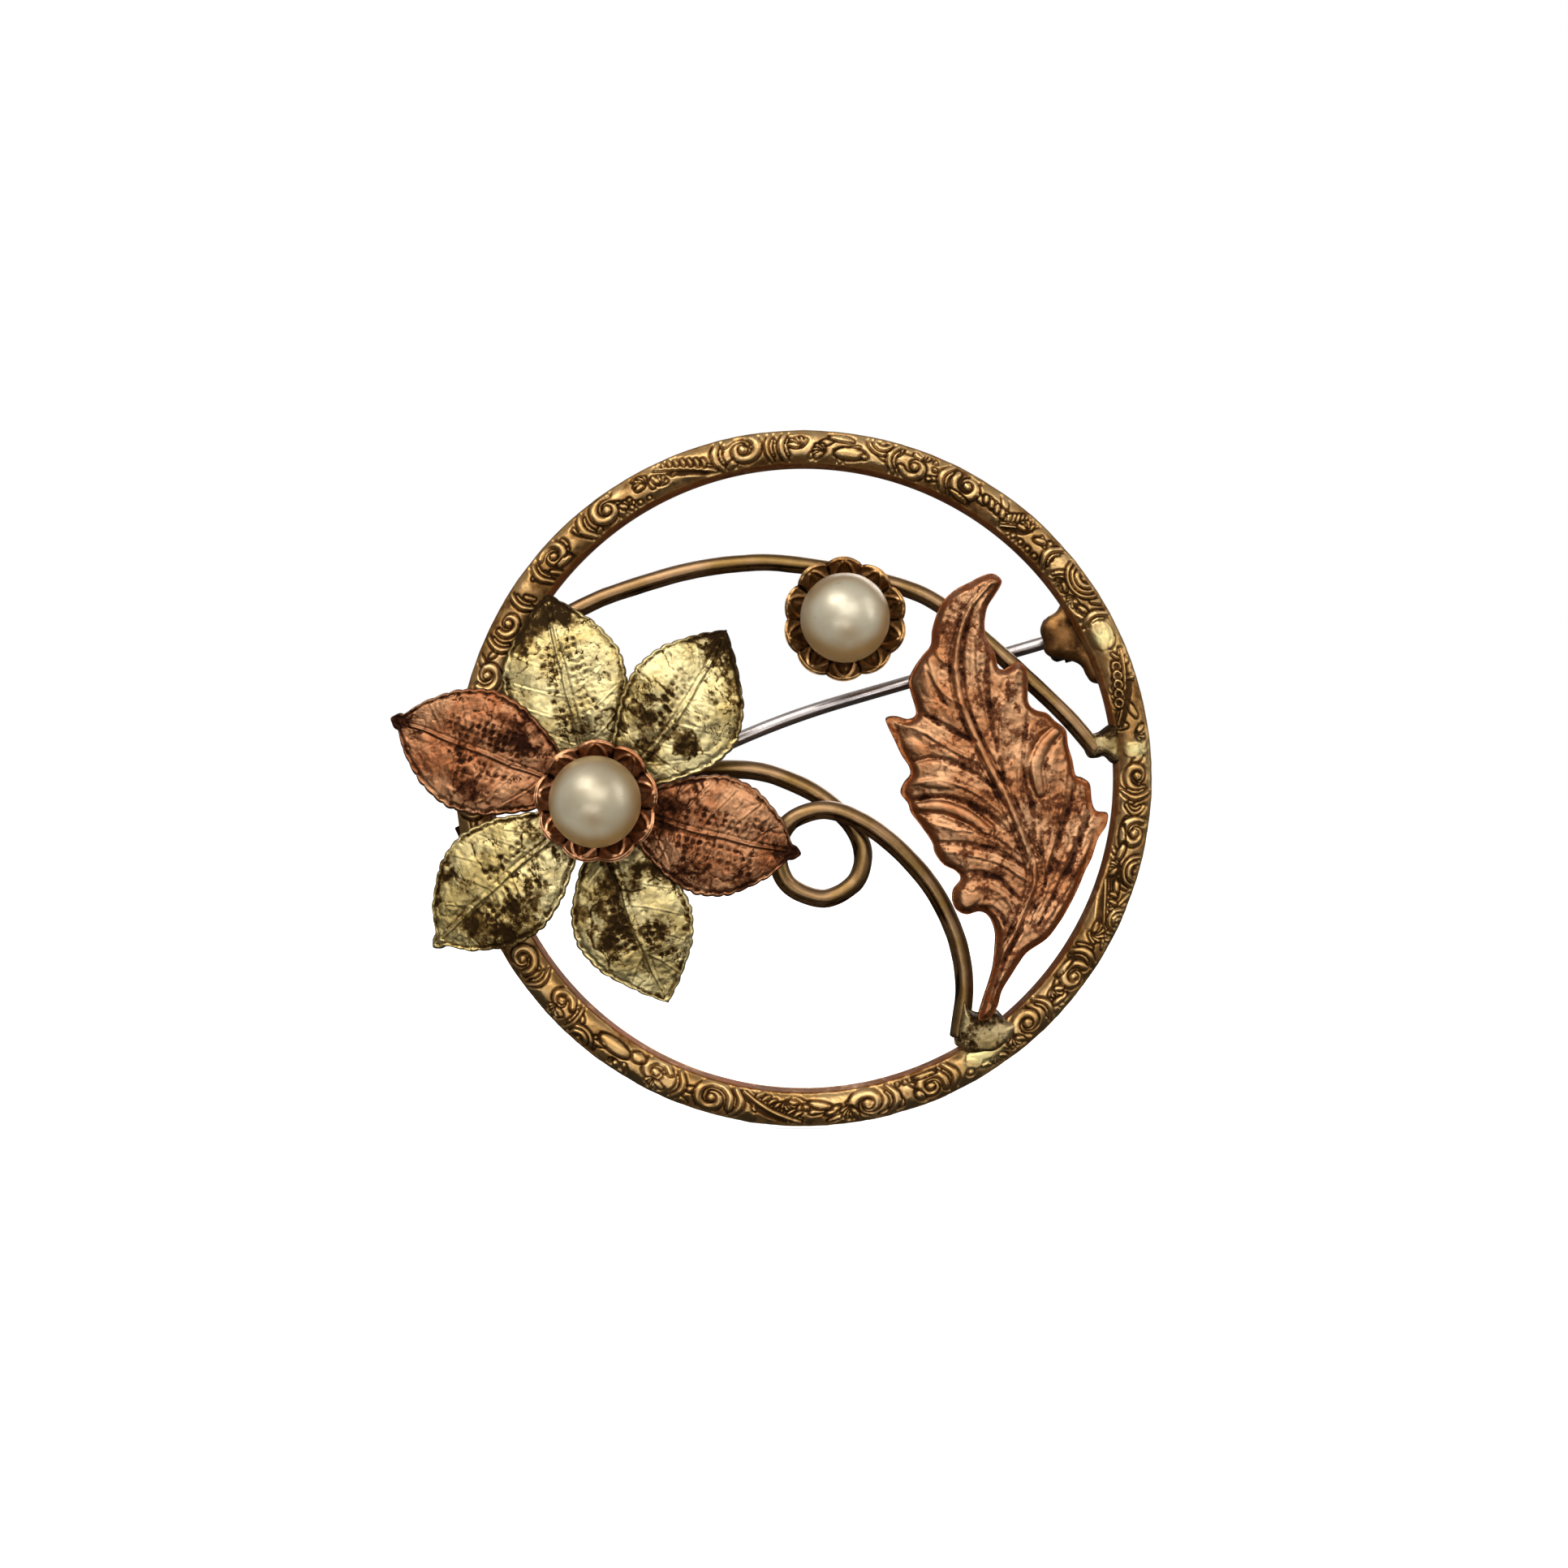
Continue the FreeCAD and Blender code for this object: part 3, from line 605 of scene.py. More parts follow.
# what is chased round the hoop, in the order it is laid down: kind, place in degrees, then that kind's sizes
MOTIFS = [
    ("crumbs", -170, 190, 120),
    # from the flower clockwise over the top
    ("bow", 142.2), ("scroll", 138.4, 0.42, 0.6, 1.55, -1), ("leaf", 137.8, -0.25, 0.5, 0.16, -8),
    ("bow", 131.0, 0.26, 0.2), ("scroll", 126.4, 0.25, 0.68, 1.55, 1, 60, 0.14),
    ("shell", 123.2, -0.3, 0.4, 4, 60), ("bead", 122.4, -0.42), ("bead", 120.6, -0.4),
    ("bead", 118.8, -0.42, 0.11), ("shell", 118.6, 0.3, 0.45, 5, 120), ("shell", 116.4, 0.05, 0.4, 4, 40),
    ("feather", 115.8, 0.8, 105.6, -0.45, -1), ("bow", 104.9, 0.24, 0.2),
    ("scroll", 100.5, 0.38, 0.78, 1.7, -1, 150, 0.14), ("bow", 95.9, 0.2, 0.13), ("bow", 93.4, 0.2, 0.17),
    ("shell", 90.8, 0.2, 0.5, 5, 100), ("shell", 86.6, -0.1, 0.42, 5, 150),
    ("leaf", 83.6, 0.78, 0.62, 0.17, -5), ("leaf", 82.0, -0.02, 0.78, 0.33, 4),
    ("bead", 79.3, -0.05, 0.15), ("hang", 76.6, 0.66), ("bow", 74.2, 0.3, 0.15),
    ("scroll", 70.4, 0.05, 0.55, 1.2, 1, 200, 0.13), ("shell", 69.6, 0.65, 0.35, 4, 90),
    ("bead", 67.4, -0.2), ("bead", 66.9, 0.4, 0.11), ("bead", 67.2, 0.8, 0.1), ("bow", 64.6, 0.3, 0.19),
    ("scroll", 60.6, 0.42, 0.62, 1.6, 1, 150, 0.13), ("leaf", 61.2, -0.33, 0.6, 0.13, -10),
    *[("shell", 56.6 - 1.25 * k, 0.1 - 0.06 * k, 0.36, 3, 70, 60) for k in range(5)],
    ("feather", 47.0, 0.95, 52.2, -0.4, 1, 0.11), ("shell", 48.2, 0.25, 0.42, 4, 120),
    *[("bead", 49.2 - 1.75 * k, -0.42, 0.13) for k in range(4)], ("leaf", 45.0, 0.4, 0.34, 0.15, 30),
    ("bow", 41.9, 0.3, 0.18), ("hang", 35.4, 0.95, 3), ("shell", 37.0, -0.1, 0.4, 6, 270),
    ("shell", 33.4, -0.15, 0.4, 5, 280), ("leaf", 31.2, -0.1, 0.3, 0.16, 30),
    # solder-smeared stretch on the right
    ("bow", 28.8, 0.24, 0.18), ("plain", 25.6, 0.15, 0.95, 0.85),
    ("feather", 22.2, 0.85, 9.5, -0.45, 1, 0.13), ("ladder", 20.4, 12.6, 0.28, -0.22, 5),
    ("shell", 8.0, 0.5, 0.4, 4, 60), ("plain", 4.9, 0.3, 0.5, 0.8),
    ("scroll", 0.4, 0.35, 0.58, 1.5, -1, 30, 0.13), ("bow", -2.6, 0.26, 0.16, -1),
    ("bow", -5.2, 0.3, 0.12, -1, -0.5, 0.7), ("scroll", -9.6, 0.5, 0.6, 1.6, 1, 150, 0.13),
    ("leaf", -10.4, -0.2, 0.55, 0.14, 8), ("hang", -15.8, 0.7), ("leaf", -13.2, -0.1, 0.5, 0.17, -14),
    ("shell", -16.2, -0.05, 0.4, 5, 260), ("leaf", -19.4, 0.2, 0.45, 0.14, 20),
    ("feather", -29.8, 0.9, -18.4, -0.48, 1, 0.13), ("hang", -24.4, 0.5),
    ("shell", -28.2, 0.0, 0.5, 5, 120), ("bow", -32.4, 0.3, 0.18),
    ("scroll", -36.4, 0.5, 0.6, 1.6, 1, 160, 0.13), ("leaf", -36.0, -0.3, 0.62, 0.14, -6),
    ("leaf", -40.8, 0.62, 0.45, 0.18, -12), ("shell", -39.9, -0.05, 0.42, 5, 60),
    ("bow", -43.6, 0.32, 0.15), ("scroll", -47.5, 0.2, 0.66, 1.5, -1, 60, 0.15),
    ("shell", -50.6, 0.4, 0.4, 4, 60),
    # lower right corner, where the stems are soldered on
    ("shell", -54.6, 0.55, 0.45, 5, 60), ("plain", -55.0, 0.0, 1.0, 0.7), ("plain", -58.8, 0.1, 0.6, 0.6),
    ("leaf", -60.4, 0.6, 0.2, 0.16, 70), ("bow", -63.8, 0.3, 0.2),
    ("scroll", -67.6, 0.35, 0.66, 1.7, 1, 150, 0.13), ("leaf", -69.8, 0.6, 0.2, 0.32, 20),
    ("leaf", -68.0, -0.38, 0.6, 0.1, -4), ("bead", -71.6, -0.4, 0.11), ("bead", -73.0, -0.42, 0.1),
    ("bow", -74.6, 0.32, 0.2), ("scroll", -78.8, 0.2, 0.74, 1.5, -1, 80, 0.17),
    ("shell", -81.4, 0.3, 0.6, 5, 50, 90), ("leaf", -85.0, 0.35, 0.42, 0.16, 30),
    ("leaf", -87.2, 0.0, 0.6, 0.2, -14), ("bead", -89.6, 0.1, 0.18),
    ("feather", -90.6, 0.92, -100.8, -0.45, 1, 0.2), ("shell", -92.6, -0.25, 0.4, 5, 100),
    ("bow", -101.8, 0.3, 0.2), ("scroll", -106.2, 0.3, 0.82, 2.0, 1, 160, 0.13),
    ("bow", -112.2, 0.26, 0.18), ("scroll", -116.8, -0.05, 0.62, 1.4, 1, 200, 0.14),
    ("shell", -116.2, 0.5, 0.42, 5, 80, 120), ("leaf", -120.6, -0.15, 0.42, 0.28, 10),
    ("leaf", -125.2, 0.02, 0.95, 0.36, -3), ("shell", -123.6, 0.72, 0.3, 5, 60), ("hang", -131.0, 0.68),
    ("bow", -133.6, 0.1, 0.1), ("scroll", -137.4, -0.1, 0.52, 1.3, 1, 190, 0.13),
    ("shell", -137.0, 0.5, 0.42, 5, 90, 120), ("bow", -142.8, 0.26, 0.14),
    ("scroll", -147.4, 0.4, 0.62, 1.6, 1, 150, 0.13), ("bow", -152.8, 0.28, 0.17),
    ("scroll", -157.0, 0.2, 0.6, 1.5, -1, 60, 0.14), ("hang", -163.2, 0.6),
    # behind the flower
    *[motif for k, deg in enumerate((-168.6, 181.4, 171.6, 162.0))
      for motif in (("bow", deg + 4.4, 0.28, 0.17),
                   ("scroll", deg, 0.25, 0.62, 1.5, 1 if k % 2 else -1, 150, 0.13))],
    ("bow", 156.4, 0.26, 0.17), ("scroll", 152.4, 0.3, 0.5, 1.4, 1, 150, 0.12), ("bow", 148.2, 0.2, 0.16),
]


def chase(q):
    """Height of the chasing, 0 to 1, at points of the unrolled band."""
    chasing = Chasing(q)
    for kind, *sizes in MOTIFS:
        getattr(chasing, kind)(*sizes)
    return chasing.r.h


def hoop():
    """The hoop with its chased face, plain inner slope and flat back."""
    count = 1900
    profile = [(20.9, 0.0), (19.6, 0.0), (19.12, 0.0), (19.05, -0.06), (19.05, -0.42)]
    slope_start = len(profile) - 1
    profile += [(19.05 + 0.17 * f, -0.45 - 0.85 * f) for f in np.linspace(0.1, 0.98, 5)]
    first = len(profile)
    profile += [(20.22 + u, -1.855 + 0.5 * abs(u) ** 2.6) for u in np.linspace(-0.99, 0.98, 38)]
    last = len(profile)
    profile = np.array(profile + [(21.27, -1.22), (21.3, -0.7), (21.3, -0.3), (21.24, 0.0)])
    tangent = unit(np.roll(profile, -1, axis=0) - np.roll(profile, 1, axis=0))

    n = len(profile)
    angle = np.radians(190) - np.arange(count) / count * 2 * math.pi
    cos, sin = np.cos(angle).repeat(n), np.sin(angle).repeat(n)
    radius, y = np.tile(profile, (count, 1)).T
    along, forward = np.tile(tangent, (count, 1)).T
    point = np.column_stack([cos * radius, y, sin * radius])
    normal = np.column_stack([cos * forward, -along, sin * forward])
    row = np.tile(np.arange(n), count)
    face = (row >= first) & (row < last)
    slope = ((row >= slope_start) & (row < first)).astype(float)
    at_back = (y > -0.1).astype(float)

    q = np.column_stack([(-np.degrees(angle) * MM_PER_DEG).repeat(n), radius - BAND_MID])
    h = np.full(len(q), 0.62)
    edge = np.clip(np.minimum((q[face, 1] + 0.93) / 0.07, (1.02 - q[face, 1]) / 0.07), 0, 1)
    h[face] = chase(q[face]) * edge + 0.7 * (1 - edge)
    rough = noise(point, 0.35, 3, 3)
    wave = noise(point, 1.6, 2, 8)
    depth = np.where(face, (h - 1) * 0.32 + 0.01 * rough, 0.012 * rough) + 0.02 * wave
    v = point + normal * (depth * (1 - at_back))[:, None]

    shade = np.clip(noise(point, 1.2, 2, 77) + 0.1, 0, 1)
    chased = np.clip(h * 1.05 + 0.06 * rough, 0, 1) - 0.55 * shade * (1 - h ** 3)
    mark = np.where(face, chased, 0.42 + 0.2 * rough)
    mark = mark * (1 - at_back) + (0.72 + 0.12 * wave) * at_back
    # paler where solder has run over the face
    pale = np.zeros(len(q))
    for place, width, t in ((25.3, 1.9, 0.0), (5.0, 1.2, 0.2), (-57.0, 3.0, -0.2)):
        near = np.exp(-((q[:, 0] / MM_PER_DEG + place) / width) ** 2 - ((q[:, 1] - t) / 0.75) ** 2)
        pale = np.maximum(pale, near)
    make("hoop", v, grid_faces(count, n, True, True), GOLD, ["ring_frame"], "gold_fill", relief=mark,
         tarnish=0.35 + 0.35 * noise(point, 4.5, 2, 21) + 0.5 * slope, pale=pale,
         rust=slope * (0.75 + 0.3 * noise(point, 2.2, 2, 31)))


# ---------- petals ----------

PETAL_DOME, PETAL_MID, PETAL_START, PETAL_T = 18.0, 7.0, 0.62, 0.3
LAYER_Y = {1: -3.0, 2: -3.5, 3: -4.0}
TEETH, TOOTH = 17, 0.13
# direction, length, half width, bend, layer, metal, seed,
# stained places (u, v, ru, rv, strength), pit blocks (first u, rows, near v, columns, side)
PETALS = {
    "petal_top": (105.0, 13.15, 3.72, 0.15, 1, "green", 3,
                  [(12.6, 0.3, 1.9, 2.2, 1.2), (11.2, 1.7, 1.2, 1.2, 0.9), (4.2, 0.0, 1.6, 3.0, 0.55)],
                  [(5.6, 6, 0.75, 4, -1), (8.3, 3, 0.8, 3, -1), (7.2, 5, 0.7, 2, 1), (5.2, 2, 0.7, 2, 1)]),
    "petal_upper_right": (53.5, 12.95, 3.72, -0.85, 3, "green", 5,
                          [(12.4, -0.4, 1.7, 2.2, 1.2), (10.6, -2.1, 1.6, 1.3, 0.7),
                           (5.8, 1.6, 2.2, 1.6, 0.8), (5.9, -1.5, 0.75, 0.75, 1.5),
                           (3.8, 0.4, 1.8, 2.4, 0.6)],
                          [(6.2, 6, 0.7, 3, 1), (7.2, 4, 0.8, 3, -1)]),
    "petal_right": (-14.7, 12.65, 3.65, -0.25, 2, "rose", 7,
                    [(4.4, 0.5, 1.8, 2.2, 0.7), (12.0, 0.0, 1.0, 0.9, 1.0), (6.6, -2.6, 2.6, 0.9, 0.8),
                     (9.5, -2.3, 1.8, 0.9, 0.5)],
                    [(5.6, 9, 0.75, 3, 1), (5.4, 9, 0.75, 4, -1)]),
    "petal_lower_right": (-71.3, 12.95, 3.6, -0.45, 1, "green", 11,
                          [(7.4, -1.4, 2.0, 1.6, 1.1), (8.8, 1.4, 1.3, 1.0, 0.8), (4.6, 0.3, 1.9, 3.0, 0.8)],
                          [(6.2, 6, 0.6, 3, -1), (7.4, 5, 0.6, 3, 1)]),
    "petal_lower_left": (-138.6, 13.4, 3.68, -0.22, 3, "green", 13,
                         [(8.3, 2.1, 2.3, 1.2, 1.2), (9.9, 0.8, 1.5, 1.0, 0.8), (9.8, -2.6, 1.4, 0.9, 0.6),
                          (4.0, 0.0, 1.6, 2.4, 0.5)],
                         [(5.6, 8, 0.7, 4, 1), (5.4, 5, 0.8, 2, -1)]),
    "petal_left": (158.3, 13.68, 3.75, -0.1, 2, "rose", 17,
                   [(5.8, -1.9, 2.6, 1.3, 0.9), (13.2, 0.0, 0.8, 0.8, 1.2), (7.3, 2.4, 1.7, 0.9, 0.8),
                    (8.6, 1.1, 1.5, 1.2, 0.4)],
                   [(5.8, 9, 0.7, 4, -1), (6.0, 6, 0.7, 4, 1)]),
}
# petals whose tip ends in a rounded drip of metal, and those whose tip is rolled back
DRIPS = ("petal_left", "petal_lower_left", "petal_right")
ROLLED = ("petal_top", "petal_upper_right")


def petal(name):
    """A stamped leaf petal: u runs from the flower's middle to the tip, v across it."""
    angle, length, half, bend, layer, metal, seed, stains, blocks = PETALS[name]
    rng = np.random.default_rng(seed)
    nu, nv = 220, 97
    t = np.linspace(0, 1, nu)
    u = PETAL_START + (length - PETAL_START) * t
    s = u / length
    width = np.maximum(half * np.sin(math.pi * s ** 1.27), 0)
    if name in DRIPS:
        width = width * (1 - 0.32 * np.exp(-((s - 0.945) / 0.03) ** 2))
        width = np.maximum(width, 0.2 * np.sqrt(np.clip(1 - ((s - 0.98) / 0.0201) ** 2, 0, None)))
    tooth = TOOTH * np.abs(np.sin(math.pi * TEETH * t ** (1 / 0.9))) ** 0.8
    tooth *= (0.75 + 0.25 * np.sin(np.arange(nu) * 0.17 + seed)) * smooth(0.0, 0.12, t)
    middle = bend * np.sin(math.pi * s)
    side = np.linspace(-1, 1, nv)
    side = np.sign(side) * (1 - (1 - np.abs(side)) ** 1.25)
    uu, vn = np.repeat(u, nv), np.tile(side, nu)
    reach = np.repeat(np.maximum(width, 0.05) + tooth * smooth(1.0, 0.985, t), nv)
    vv = np.repeat(middle, nv) + vn * reach
    off = vv - np.repeat(middle, nv)
    q = np.column_stack([uu, vv])
    p3 = np.column_stack([uu, vv, np.full(len(uu), seed * 3.7)])

    r = Relief(q)
    # midrib with its grooves
    rib = [(x, bend * math.sin(math.pi * x / length) + 0.05 * math.sin(x * 1.7 + seed))
           for x in np.linspace(1.5, length * 0.93, 9)]
    r.stroke(rib, 0.34, 0.07, 0.5, "cut", 1.0)
    r.stroke(rib, 0.15, 0.19, 0.45, "add", 0.8)
    # side veins
    for k in range(5):
        x0 = length * (0.26 + 0.12 * k)
        m0 = bend * math.sin(math.pi * x0 / length)
        for sd in (-1, 1):
            out = 0.82 * half * math.sin(math.pi * min((x0 + 1.5) / length, 1) ** 1.27)
            lean = 1.2 + 0.5 * rng.random()
            wob = 0.25 * (rng.random() - 0.5)
            pts = [(x0, m0), (x0 + lean * 0.35, m0 + sd * out * 0.38 + wob * 0.4),
                   (x0 + lean * 0.8, m0 + sd * out * 0.75 + wob), (x0 + lean * 1.15, m0 + sd * out)]
            r.stroke(pts, 0.09, 0.024, 0.5, "add", 1.0)
            r.stroke([(a + 0.11, b) for a, b in pts], 0.08, 0.02, 0.4, "cut", 1.0)
    shape = r.h.copy()
    # punched dots, in rows across the petal
    dots = Relief(q)
    for first, rows, near, cols, sd in blocks:
        for i in range(rows + 2):
            x = first - 0.2 + 0.45 * i + 0.03 * rng.standard_normal()
            keep = cols - (1 if rng.random() < 0.35 else 0)
            m0 = bend * math.sin(math.pi * x / length)
            for j in range(keep):
                if rng.random() < 0.1:
                    continue
                y = m0 + sd * (near - 0.12 + 0.4 * j) + 0.03 * rng.standard_normal()
                xx = x + 0.05 * j + 0.03 * rng.standard_normal()
                dots.blob(xx, y, 0.155, 0.18, 0.65 + 0.35 * rng.random(), 0, "max", 0.2)
    shape -= 0.06 * dots.h
    # hammered and crackled skin
    veins = np.maximum(cracks(p3, 1.7, 4, seed) ** 2, 0.6 * cracks(p3, 0.75, 3, seed + 7) ** 2)
    skin = noise(p3, 0.45, 4, seed + 40)
    lumps = noise(p3, 1.9, 2, seed + 60)
    furrow = np.sin(off * 4.6 + 1.2 * noise(p3, 1.6, 2, seed + 70)) * smooth(5.2, 2.2, uu)
    shape += -0.04 * veins + 0.045 * skin + 0.1 * lumps + 0.05 * furrow
    # rim: bright bead, dark line inside it
    rim = np.minimum((1 - np.abs(vn)) * reach, (length - uu) * 0.8)
    shape += 0.035 * np.exp(-((rim - 0.13) / 0.08) ** 2) - 0.05 * np.exp(-((rim - 0.33) / 0.1) ** 2)
    # slight gutter either side of the rib and a rolled-back tip
    cup = 0.2 * np.exp(-(off / 1.0) ** 2) * smooth(1.5, 4, uu) * smooth(length, length - 3, uu)
    if name in ROLLED:
        cup += 0.55 * smooth(length - 3.2, length, uu) ** 1.5
    dome = LAYER_Y[layer] + PETAL_DOME - np.sqrt(PETAL_DOME ** 2 - (uu - PETAL_MID) ** 2 - vv ** 2)
    round_off = 0.16 * (1 - np.sqrt(np.clip(1 - (1 - np.clip(rim / 0.16, 0, 1)) ** 2, 0, 1)))
    front = dome - shape + cup + round_off
    back = dome + PETAL_T - 0.4 * shape * smooth(0.1, 0.5, rim) + cup - 0.05 * (rim < 0.05)
    a = math.radians(angle)

    def place(y):
        return np.column_stack([FLOWER_X + uu * math.cos(a) - vv * math.sin(a), y,
                                FLOWER_Z + uu * math.sin(a) + vv * math.cos(a)])

    total = nu * nv
    border = [i * nv for i in range(nu)] + [(nu - 1) * nv + j for j in range(1, nv)]
    border += [i * nv + nv - 1 for i in range(nu - 2, -1, -1)] + list(range(nv - 2, 0, -1))
    stain = np.zeros(total)
    for su, sv, ru, rv, power in stains:
        stain = np.maximum(stain, power * np.exp(-((uu - su) / ru) ** 2 - ((off - sv) / rv) ** 2))
    stain *= 1.2 * (0.85 + 0.4 * noise(p3, 0.5, 4, seed + 90))
    stain += 0.36 * noise(p3, 1.2, 4, seed + 80) - 0.02
    line = 0.75 * np.exp(-((rim - 0.3) / 0.12) ** 2) + 0.45 * np.exp(-((np.abs(off) - 0.26) / 0.09) ** 2)
    relief = 0.88 - 0.5 * dots.h - 0.6 * veins - 0.6 * line + 0.2 * skin
    relief = np.where(rim < 0.2, np.maximum(relief, 0.75), relief)
    relief = np.where(rim < 0.03, 0.3, relief)
    faces = sheet_faces(grid_faces(nu, nv), total, [border])
    make(name + "_sheet", np.vstack([place(front), place(back)]), faces,
         GREEN if metal == "green" else ROSE, [name], metal + "_gold",
         relief=np.r_[relief, np.full(total, 0.7)], tarnish=np.r_[stain, np.full(total, 0.35)])


# ---------- rosette cups and pearls ----------

def rosette(name, node, x, z, back, radius, lobes, material, slot, seed, phase=0.0):
    """Dished cup of folded lobes round a pearl."""
    na, nr = lobes * 36, 44
    th = np.linspace(0, 2 * math.pi, na, endpoint=False)
    wave = np.abs(np.cos(lobes * (th - phase) / 2)) ** 0.7
    edge = radius * (0.925 + 0.075 * wave) * (1 + 0.012 * np.sin(3 * th + seed))
    r_in = 0.46
    tt, ff = np.repeat(th, nr), np.tile(np.linspace(0, 1, nr), na)
    r = r_in + (np.repeat(edge, nr) - r_in) * ff
    # place inside a lobe: -1..1 across it
    across = (np.mod((tt - phase) * lobes / (2 * math.pi) + 0.5, 1.0) - 0.5) * 2
    p3 = np.column_stack([r * np.cos(tt), np.full(len(tt), seed * 2.0), r * np.sin(tt)])
    gap = np.exp(-((1 - np.abs(across)) / 0.1) ** 2) * smooth(1.6, 2.6, r)
    fold = (1 - across ** 2)
    apex = radius * 0.93 - r
    half_at = np.clip(apex / (radius * 0.3), 0, 1) ** 0.7 * 0.86
    tri = np.exp(-((np.abs(across) - half_at) / 0.12) ** 2) * smooth(2.2, 2.8, r) * smooth(-0.05, 0.12, apex)
    middle = np.exp(-(across / 0.12) ** 2) * smooth(2.4, 2.9, r) * smooth(0.0, 0.3, apex)
    rim = np.exp(-((radius * (0.925 + 0.075 * np.repeat(wave, nr)) - r - 0.1) / 0.09) ** 2)
    shape = 0.1 * fold * smooth(1.2, 2.6, r) - 0.12 * gap + 0.19 * tri + 0.1 * middle + 0.08 * rim
    shape += 0.09 * noise(p3, 0.6, 4, seed)
    face_y = back - 5.35 + np.sqrt(25.0 - r ** 2) - shape * smooth(0.8, 2.0, r)
    rear_y = back - 5.35 + np.sqrt(5.35 ** 2 - r ** 2) - 0.3 * shape
    tip = smooth(0.0, 0.06, 1 - ff)
    face_y = face_y * tip + (face_y * 0.45 + rear_y * 0.55) * (1 - tip)

    def place(y):
        return np.column_stack([x + r * np.cos(tt), y, z + r * np.sin(tt)])

    total = na * nr
    borders = [[i * nr + nr - 1 for i in range(na)], [i * nr for i in reversed(range(na))]]
    relief = 0.7 - 0.5 * gap + 0.35 * tri + 0.3 * rim + 0.3 * middle + 0.25 * noise(p3, 0.4, 4, seed + 4)
    relief -= 0.35 * smooth(2.85, 2.5, r)
    tarnish = 0.45 + 0.4 * noise(p3, 1.5, 3, seed + 6)
    faces = sheet_faces(grid_faces(na, nr, wrap_i=True), total, borders)
    make(name, np.vstack([place(face_y), place(rear_y)]), faces, material, [node], slot,
         relief=np.r_[relief, np.full(total, 0.5)], tarnish=np.r_[tarnish, np.full(total, 0.4)])


def pearl(name, node, x, z, back, radius, seed):
    """Imitation pearl, very slightly uneven, open at the back where the peg goes in."""
    na, nb, bore = 112, 69, 0.45
    centre = np.array([x, back - 0.37 - radius, z])
    a = np.linspace(0, 2 * math.pi, na, endpoint=False)
    b = np.linspace(0.0, math.pi - math.asin(bore / radius), nb + 1)[1:]
    aa, bb = np.repeat(a, nb), np.tile(b, na)
    way = np.column_stack([np.sin(bb) * np.cos(aa), -np.cos(bb), np.sin(bb) * np.sin(aa)])
    way = np.vstack([way, (0.0, -1.0, 0.0)])
    size = radius * (0.998 + 0.002 * noise(way * 3, 2.0, 2, seed))
    seat = np.column_stack([bore * np.cos(a), np.full(na, -0.2), bore * np.sin(a)])
    v = np.vstack([way * size[:, None], seat])
    pole = na * nb
    faces = grid_faces(na, nb, wrap_i=True)
    for i in range(na):
        j = (i + 1) % na
        faces.append([pole, j * nb, i * nb])
        faces.append([i * nb + nb - 1, j * nb + nb - 1, pole + 1 + j, pole + 1 + i])
    faces.append([pole + 1 + i for i in range(na)])
    low = v / radius
    # painted shade and reflection: the mark rises towards the bottom and round the rim as painted shade, and
    # a dark spot low on the front is a painted reflection; the noise adds real tarnish
    tarnish_and_painted_shade = 0.1 + 0.3 * smooth(0.0, -0.9, low[:, 2]) + 0.65 * smooth(0.55, 1.0, np.hypot(low[:, 0], low[:, 2]))
    painted_reflection = np.exp(-((low[:, 0] - 0.02) / 0.3) ** 2 - ((low[:, 2] + 0.36) / 0.24) ** 2)
    tarnish_and_painted_shade += 0.34 * painted_reflection * (low[:, 1] < 0)
    tarnish_and_painted_shade += 0.12 * noise(low * 3, 2.0, 3, seed)
    make(name, v + centre, faces, NACRE, [node], "pearl", tarnish=tarnish_and_painted_shade)


# ---------- spray leaf ----------

LEAF_OUTLINE = [
    (11.97, 12.1), (11.98, 11.75), (11.63, 11.15), (11.18, 10.44), (11.0, 9.66), (11.0, 8.97), (11.1, 8.48),
    (11.6, 7.6), (11.8, 6.75), (12.18, 6.62), (12.5, 6.83), (12.97, 7.07), (13.42, 6.81), (13.61, 6.32),
    (13.61, 5.34), (13.68, 4.56), (14.1, 4.16), (14.79, 3.97), (15.3, 3.5), (15.95, 2.95), (16.1, 2.0),
    (16.36, 1.12), (16.55, 0.22), (16.95, 0.05), (17.42, -0.35), (17.54, -1.33), (17.8, -1.95),
    (18.5, -2.12), (18.42, -2.9), (17.93, -3.69), (17.54, -4.86), (17.15, -5.65), (16.75, -6.63),
    (16.17, -7.81), (15.58, -8.79), (14.79, -9.77), (13.61, -10.56), (13.1, -11.2), (12.63, -11.93),
    (12.04, -12.9), (11.75, -13.9), (11.2, -14.6), (10.6, -14.6), (10.87, -13.5), (11.26, -12.32),
    (11.5, -11.4), (11.61, -10.36), (11.62, -9.3), (11.26, -8.42), (10.67, -8.1), (9.89, -8.28),
    (9.3, -8.02), (9.04, -7.42), (9.1, -6.75), (9.55, -6.1), (9.2, -5.62), (8.51, -5.26), (8.0, -4.57),
    (7.8, -3.88), (7.14, -2.9), (6.55, -2.12), (6.35, -1.53), (5.9, -0.88), (6.1, -0.25), (6.48, 0.24),
    (6.4, 0.75), (5.96, 1.42), (5.5, 2.4), (5.12, 3.18), (5.0, 3.68), (5.57, 3.8), (6.35, 3.62),
    (6.85, 3.97), (6.55, 5.14), (6.38, 5.93), (6.7, 6.71), (7.25, 7.5), (7.73, 8.12), (7.83, 9.07),
    (8.18, 10.2), (8.61, 10.93), (9.3, 11.52), (10.08, 11.91), (10.87, 12.31), (11.5, 12.42),
]
